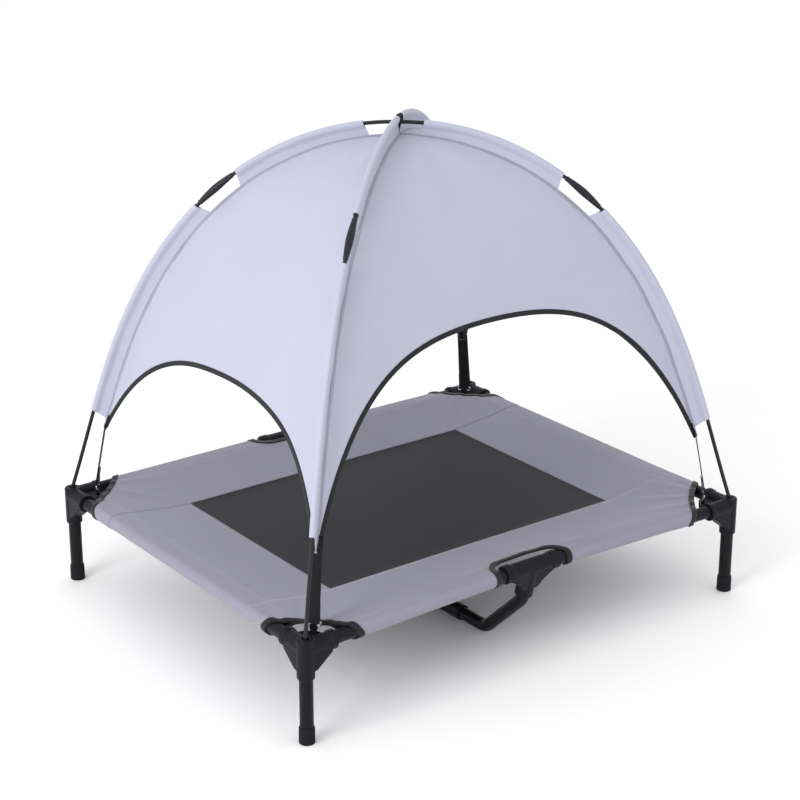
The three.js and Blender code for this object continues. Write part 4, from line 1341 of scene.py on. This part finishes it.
def strap_path(direction):
    """From inside the tip down to the ring, round its wire and a little way back up."""
    tip_out = float(np.interp(-TIP_Z, -SEAM_HIGH, SEAM_OUT))
    above = float(np.interp(-(TIP_Z + 26 * MM), -SEAM_HIGH, SEAM_OUT))
    turn_r = RING_WIRE + STRAP_THICK / 2 + 0.1 * MM
    ring = direction * STRAP_FOOT + UP * RING_TOP
    top = direction * (above - 2.6 * MM) + UP * (TIP_Z + 26 * MM)
    tip = direction * (tip_out - 2.4 * MM) + UP * (TIP_Z + 2 * MM)
    points = [top.lerp(tip, k / 6) for k in range(6)]
    down = (ring - tip).normalized()
    outward = (direction - down * direction.dot(down)).normalized()
    arrive = ring + outward * turn_r
    points += [tip.lerp(arrive, k / 24) for k in range(24)]
    for step in range(13):
        angle = math.pi * step / 12
        points.append(ring + outward * turn_r * math.cos(angle) + down * turn_r * math.sin(angle))
    back = ring - outward * turn_r
    close = ring - down * 16 * MM - outward * (STRAP_THICK * 0.35)
    points += [back.lerp(close, k / 6) for k in range(1, 7)]
    points += [close - down * 14 * MM * k / 5 for k in range(1, 6)]
    return points


def ring_path(direction, side):
    """The ring's wire: a rectangle with round corners."""
    half = STRAP_WIDE / 2 + 1.8 * MM
    middle = direction * STRAP_FOOT + UP * (RING_TOP + RING_LOW) / 2
    tall = (RING_TOP - RING_LOW) / 2
    ease = 2 * MM
    points = []
    for quarter, (a, b) in enumerate(((1, 1), (-1, 1), (-1, -1), (1, -1))):
        for step in range(7):
            angle = math.pi / 2 * (quarter + step / 6)
            across = a * (half - ease) + ease * math.cos(angle)
            high = b * (tall - ease) + ease * math.sin(angle)
            points.append(middle + side * across + UP * high)
    return points


def hook_bodies(direction, side):
    """An eye over the ring's low wire, a flat shank and a small barb."""
    place = Matrix((side, UP, direction)).transposed().to_4x4()
    place.translation = direction * STRAP_FOOT
    eye = []
    for step in range(9):
        angle = math.pi * step / 8
        eye.append((6.5 * MM * math.cos(angle), RING_LOW + 0.4 * MM + 3.4 * MM * math.sin(angle)))
    shank = in_mm((-6.5, 174), (-4.6, 169.5), (-4.6, 153), (-2.6, HOOK_LOW / MM), (2.6, HOOK_LOW / MM),
                  (4.6, 153), (4.6, 169.5))
    body = in_mm((6.5, 174)) + eye + shank
    barb = in_mm((5.4, 157.6), (4.2, 158.6), (-4.2, 158.6), (-5.4, 157.6), (-3.4, 152), (3.4, 152))
    return [slab(body, 3.2 * MM, place), slab(barb, 4.2 * MM, place)]


WEBBING = webbing()
RING_STEEL = ring_steel()
for corner, (x, y) in CORNERS.items():
    direction = corner_direction(x, y)
    side = direction.cross(UP)
    section = strap_section()
    path = strap_path(direction)
    rings = carried(path, section, side)
    strap = made(f"webbing_strap_{corner}", *skinned(rings), WEBBING, 50)
    with_lengths(strap, rings, lengths_along(path), [a for a, _ in section])
    fitted(strap, "canopy", "webbing_black", f"corner_strap_{corner}")
    wire = ring_path(direction, side)
    rings = carried(wire + wire[:1], circle(RING_WIRE, 12), direction)
    ring = made(f"strap_ring_{corner}", *skinned(rings), RING_STEEL)
    fitted(ring, "canopy", "painted_steel")
    hook = lump(f"moulded_hook_{corner}", hook_bodies(direction, side))
    soften = hook.modifiers.new("edges", "BEVEL")
    soften.width = 0.5 * MM
    soften.segments = 3
    soften.limit_method = "ANGLE"
    settle(hook)
    fitted(hook, "canopy", "moulded_black", f"strap_hook_{corner}")

# ---- crown tie -----------------------------------------------------------------------------------
# A black cord lashes the rods together where they cross, and a knotted tail drops to a small tab sewn on
# the canopy's crown, so that the middle of the dome hangs from the rods.
TIE_R = 1.3 * MM
LASH_WIDE = 8.6 * MM
LASH_TALL = CROSS_LIFT + ROD_R + TIE_R
TAB_TOP = CROWN_Z - SKIN_OFFSET + 5 * MM
TAB_THICK = 2.4 * MM
KNOT_SIZE = 1.05 * MM
KNOT_DROP = 11.6 * MM
KNOT_TALL = 1.5 * MM


def braided_cord():
    finish = Finish("braided_cord", Sheen_Weight=0.1, Specular_IOR_Level=0.35)
    strand = finish.noise(700, 2, (1, 1, 0.4))
    colour = finish.mixed((0.004, 0.004, 0.0055), (0.016, 0.016, 0.02), strand)
    return finish.show(colour, 0.7 + 0.1 * strand, strand, 0.3 * MM, 0.7)


CORD = braided_cord()
crown = UP * CROWN_Z
turns = []
for step in range(97):
    angle = 2 * math.pi * step / 48
    heading = Vector((1, 0.12, 0)).normalized() if step < 48 else Vector((0.12, 1, 0)).normalized()
    spread = LASH_WIDE * math.sin(angle)
    turns.append(crown + heading * spread + UP * LASH_TALL * -math.cos(angle))
lashing = piped("rod_lashing", turns, TIE_R, CORD)
fitted(lashing, "canopy", "webbing_black", "crossing_tie")
knot = []
for step in range(61):
    t = 2 * math.pi * step / 60
    loop = Vector((math.sin(t) + 2 * math.sin(2 * t), math.cos(t) - 2 * math.cos(2 * t), 0))
    knot.append(crown + loop * KNOT_SIZE - UP * (KNOT_DROP + KNOT_TALL * math.sin(3 * t)))
tie_knot = piped("tie_knot", knot, 1.1 * MM, CORD)
fitted(tie_knot, "canopy", "webbing_black")
tail_long = CROWN_Z - LASH_TALL - TAB_TOP
tail = [crown - UP * (LASH_TALL + tail_long * k / 12) for k in range(13)]
tie_tail = piped("tie_tail", tail, TIE_R, CORD)
fitted(tie_tail, "canopy", "webbing_black")
tab_outline = in_mm((-5, -6), (5, -6), (5, 2.5), (3, 5), (-3, 5), (-5, 2.5))
tab_place = Matrix.Translation(UP * (CROWN_Z - SKIN_OFFSET)) @ upright(math.atan2(LEG_Y, LEG_X))
crown_tab = made("crown_tab", *slab(tab_outline, TAB_THICK, tab_place), SHADE_DARK_CLOTH)
fitted(crown_tab, "canopy", "canopy_grey")

# ---- stitching -----------------------------------------------------------------------------------
# Lockstitches in rows: along every lap, hem, binding, seam and casing. One stitch shape is repeated along
# each row at an even pitch, with a thread of the colour of its cloth.
PITCH = 3.6 * MM
THREAD_R = 0.32 * MM
STITCH_LONG = 2.7 * MM


def stitch_tree():
    """A stitch at every pitch along the edges of a mesh of bare lines."""
    tree = bpy.data.node_groups.new("stitches", "GeometryNodeTree")
    face = tree.interface
    face.new_socket("Rows", in_out="INPUT", socket_type="NodeSocketGeometry")
    for name in ("Pitch", "Thread Radius", "Stitch Length"):
        face.new_socket(name, in_out="INPUT", socket_type="NodeSocketFloat")
    face.new_socket("Thread", in_out="INPUT", socket_type="NodeSocketMaterial")
    face.new_socket("Stitches", in_out="OUTPUT", socket_type="NodeSocketGeometry")
    given = tree.nodes.new("NodeGroupInput").outputs

    def step(kind, sockets, **settings):
        node = tree.nodes.new(kind)
        for key, value in settings.items():
            setattr(node, key, value)
        for key, value in sockets.items():
            if isinstance(value, bpy.types.NodeSocket):
                tree.links.new(value, node.inputs[key])
            else:
                node.inputs[key].default_value = value
        return node.outputs[0]

    curve = step("GeometryNodeMeshToCurve", {"Mesh": given["Rows"]})
    marks = step("GeometryNodeCurveToPoints", {"Curve": curve, "Length": given["Pitch"]}, mode="LENGTH")
    bead = step("GeometryNodeMeshUVSphere", {"Segments": 6, "Rings": 4, "Radius": 1.0})
    half = step("ShaderNodeMath", {0: given["Stitch Length"], 1: 0.5}, operation="MULTIPLY")
    thick = given["Thread Radius"]
    size = step("ShaderNodeCombineXYZ", {"X": thick, "Y": thick, "Z": half})
    turn = marks.node.outputs["Rotation"]
    placed = step("GeometryNodeInstanceOnPoints",
                  {"Points": marks, "Instance": bead, "Rotation": turn, "Scale": size})
    real = step("GeometryNodeRealizeInstances", {"Geometry": placed})
    smooth = step("GeometryNodeSetShadeSmooth", {"Geometry": real})
    dressed = step("GeometryNodeSetMaterial", {"Geometry": smooth, "Material": given["Thread"]})
    tree.links.new(dressed, tree.nodes.new("NodeGroupOutput").inputs["Stitches"])
    return tree


def thread(name, low, high):
    finish = Finish(name, Sheen_Weight=0.2, Sheen_Roughness=0.4, Specular_IOR_Level=0.3)
    twist = finish.noise(1900, 2)
    return finish.show(finish.mixed(low, high, twist), 0.6 + 0.1 * twist, twist, 0.1 * MM)


def stitched(name, rows, colour, body, slot):
    """All the stitches of one thread on one body."""
    points, lines = [], []
    for row in rows:
        first = len(points)
        points += [tuple(point) for point in row]
        lines += [(first + k, first + k + 1) for k in range(len(row) - 1)]
    mesh = bpy.data.meshes.new(name)
    mesh.from_pydata(points, lines, [])
    piece = linked(name, mesh, colour)
    made_by = piece.modifiers.new("stitches", "NODES")
    made_by.node_group = STITCHES
    values = {"Pitch": PITCH, "Thread Radius": THREAD_R, "Stitch Length": STITCH_LONG, "Thread": colour}
    for socket in STITCHES.interface.items_tree:
        if socket.in_out == "INPUT" and socket.name in values:
            made_by[socket.identifier] = values[socket.name]
    settle(piece)
    fitted(piece, body, slot)


def row_on(place, flat_row, lift):
    a, b = np.array(flat_row, float).T
    return surface(place, a, b, lift)[0]


def shifted(flat_edge, distance, inside):
    """A flat edge moved in towards a flat place on its cloth's own side."""
    edge = np.array(flat_edge, float)
    step = np.gradient(edge, axis=0)
    step /= np.linalg.norm(step, axis=1, keepdims=True)
    normal = np.stack([-step[:, 1], step[:, 0]], 1)
    middle = len(edge) // 2
    towards = np.dot(normal[middle], np.array(inside) - edge[middle])
    return edge + normal * distance * (1 if towards > 0 else -1)


def line(start, end):
    return steps_between(start, end, 4 * MM) + [end]


STITCHES = stitch_tree()
GREY_THREAD = thread("grey_thread", (0.36, 0.35, 0.43), (0.5, 0.49, 0.58))
BLACK_THREAD = thread("black_thread", (0.012, 0.012, 0.015), (0.04, 0.04, 0.048))
PALE_THREAD = thread("pale_thread", (0.4, 0.4, 0.5), (0.55, 0.55, 0.66))
on_side, on_long = CLOTH * 0.6, LAP + CLOTH * 0.6
on_tape = LAP + TAPE_THICK * 0.46
sling_rows = []
for inset in (2 * MM, 6.5 * MM):
    for sign in (-1, 1):
        b = sign * (MESH_Y + inset)
        sling_rows.append(row_on(sling_point, line((-side_edge, b), (side_edge, b)), on_long))
        a = sign * (MESH_X + inset)
        sling_rows.append(row_on(sling_point, line((a, -MESH_Y), (a, MESH_Y)), on_side))
for inset in (0, 5 * MM):
    for sign in (-1, 1):
        a, b = sign * (SEW_X - inset), sign * (SEW_Y - inset)
        sling_rows.append(row_on(sling_point, line((a, -MESH_Y), (a, MESH_Y)), on_side))
        for end in (-1, 1):
            outer = (end * (LEG_X - sewn_reach - TAPE_WIDE), b)
            sling_rows.append(row_on(sling_point, line((end * (SLOT_HALF + TAPE_WIDE), b), outer), on_long))
            outer = (a, end * (LEG_Y - sewn_reach - TAPE_WIDE))
            sling_rows.append(row_on(sling_point, line((a, end * MESH_Y), outer), on_long))
stitched("sling_stitching", sling_rows, GREY_THREAD, "frame", "oxford_grey")

tape_rows = []
for x, y in CORNERS.values():
    edge = shifted(scoop_edge(x, y), TAPE_WIDE * 0.62, (x * MESH_X, y * MESH_Y))
    tape_rows.append(row_on(sling_point, edge, on_tape))
for y in (-1, 1):
    tape_rows.append(row_on(sling_point, shifted(slot_edge(y), TAPE_WIDE * 0.62, (0, y * MESH_Y)), on_tape))
stitched("sling_binding_stitching", tape_rows, BLACK_THREAD, "frame", "webbing_black")

seam_rows, arch_rows = [], []
for panel in panels.values():
    for end in (-1, 1):
        row = panel.seam(end, HEM_WIDE * 0.72, 14 * MM)
        seam_rows.append(row_on(panel.place, row, 0.8 * MM))
    arch = shifted(panel.arch(), ARCH_TAPE_WIDE * 0.62, (0, panel.tip_run * 0.3))
    arch_rows.append(row_on(panel.place, arch, 1.15 * MM))
for corner, (x, y) in CORNERS.items():
    direction, lift = corner_direction(x, y), lift_of(x, y)
    side = direction.cross(UP)
    for part in ("upper", "lower"):
        start, end = sleeve_spans[(part, corner)]
        path = line_path(direction, lift, start + 4 * MM, end - 4 * MM)
        for face in (-1, 1):
            spot = [(face * 0.95 * MM, -CASING_STITCH)]
            seam_rows.append([ring[0] for ring in carried(path, spot, side)])
stitched("canopy_stitching", seam_rows, PALE_THREAD, "canopy", "canopy_grey")
stitched("arch_binding_stitching", arch_rows, BLACK_THREAD, "canopy", "webbing_black")
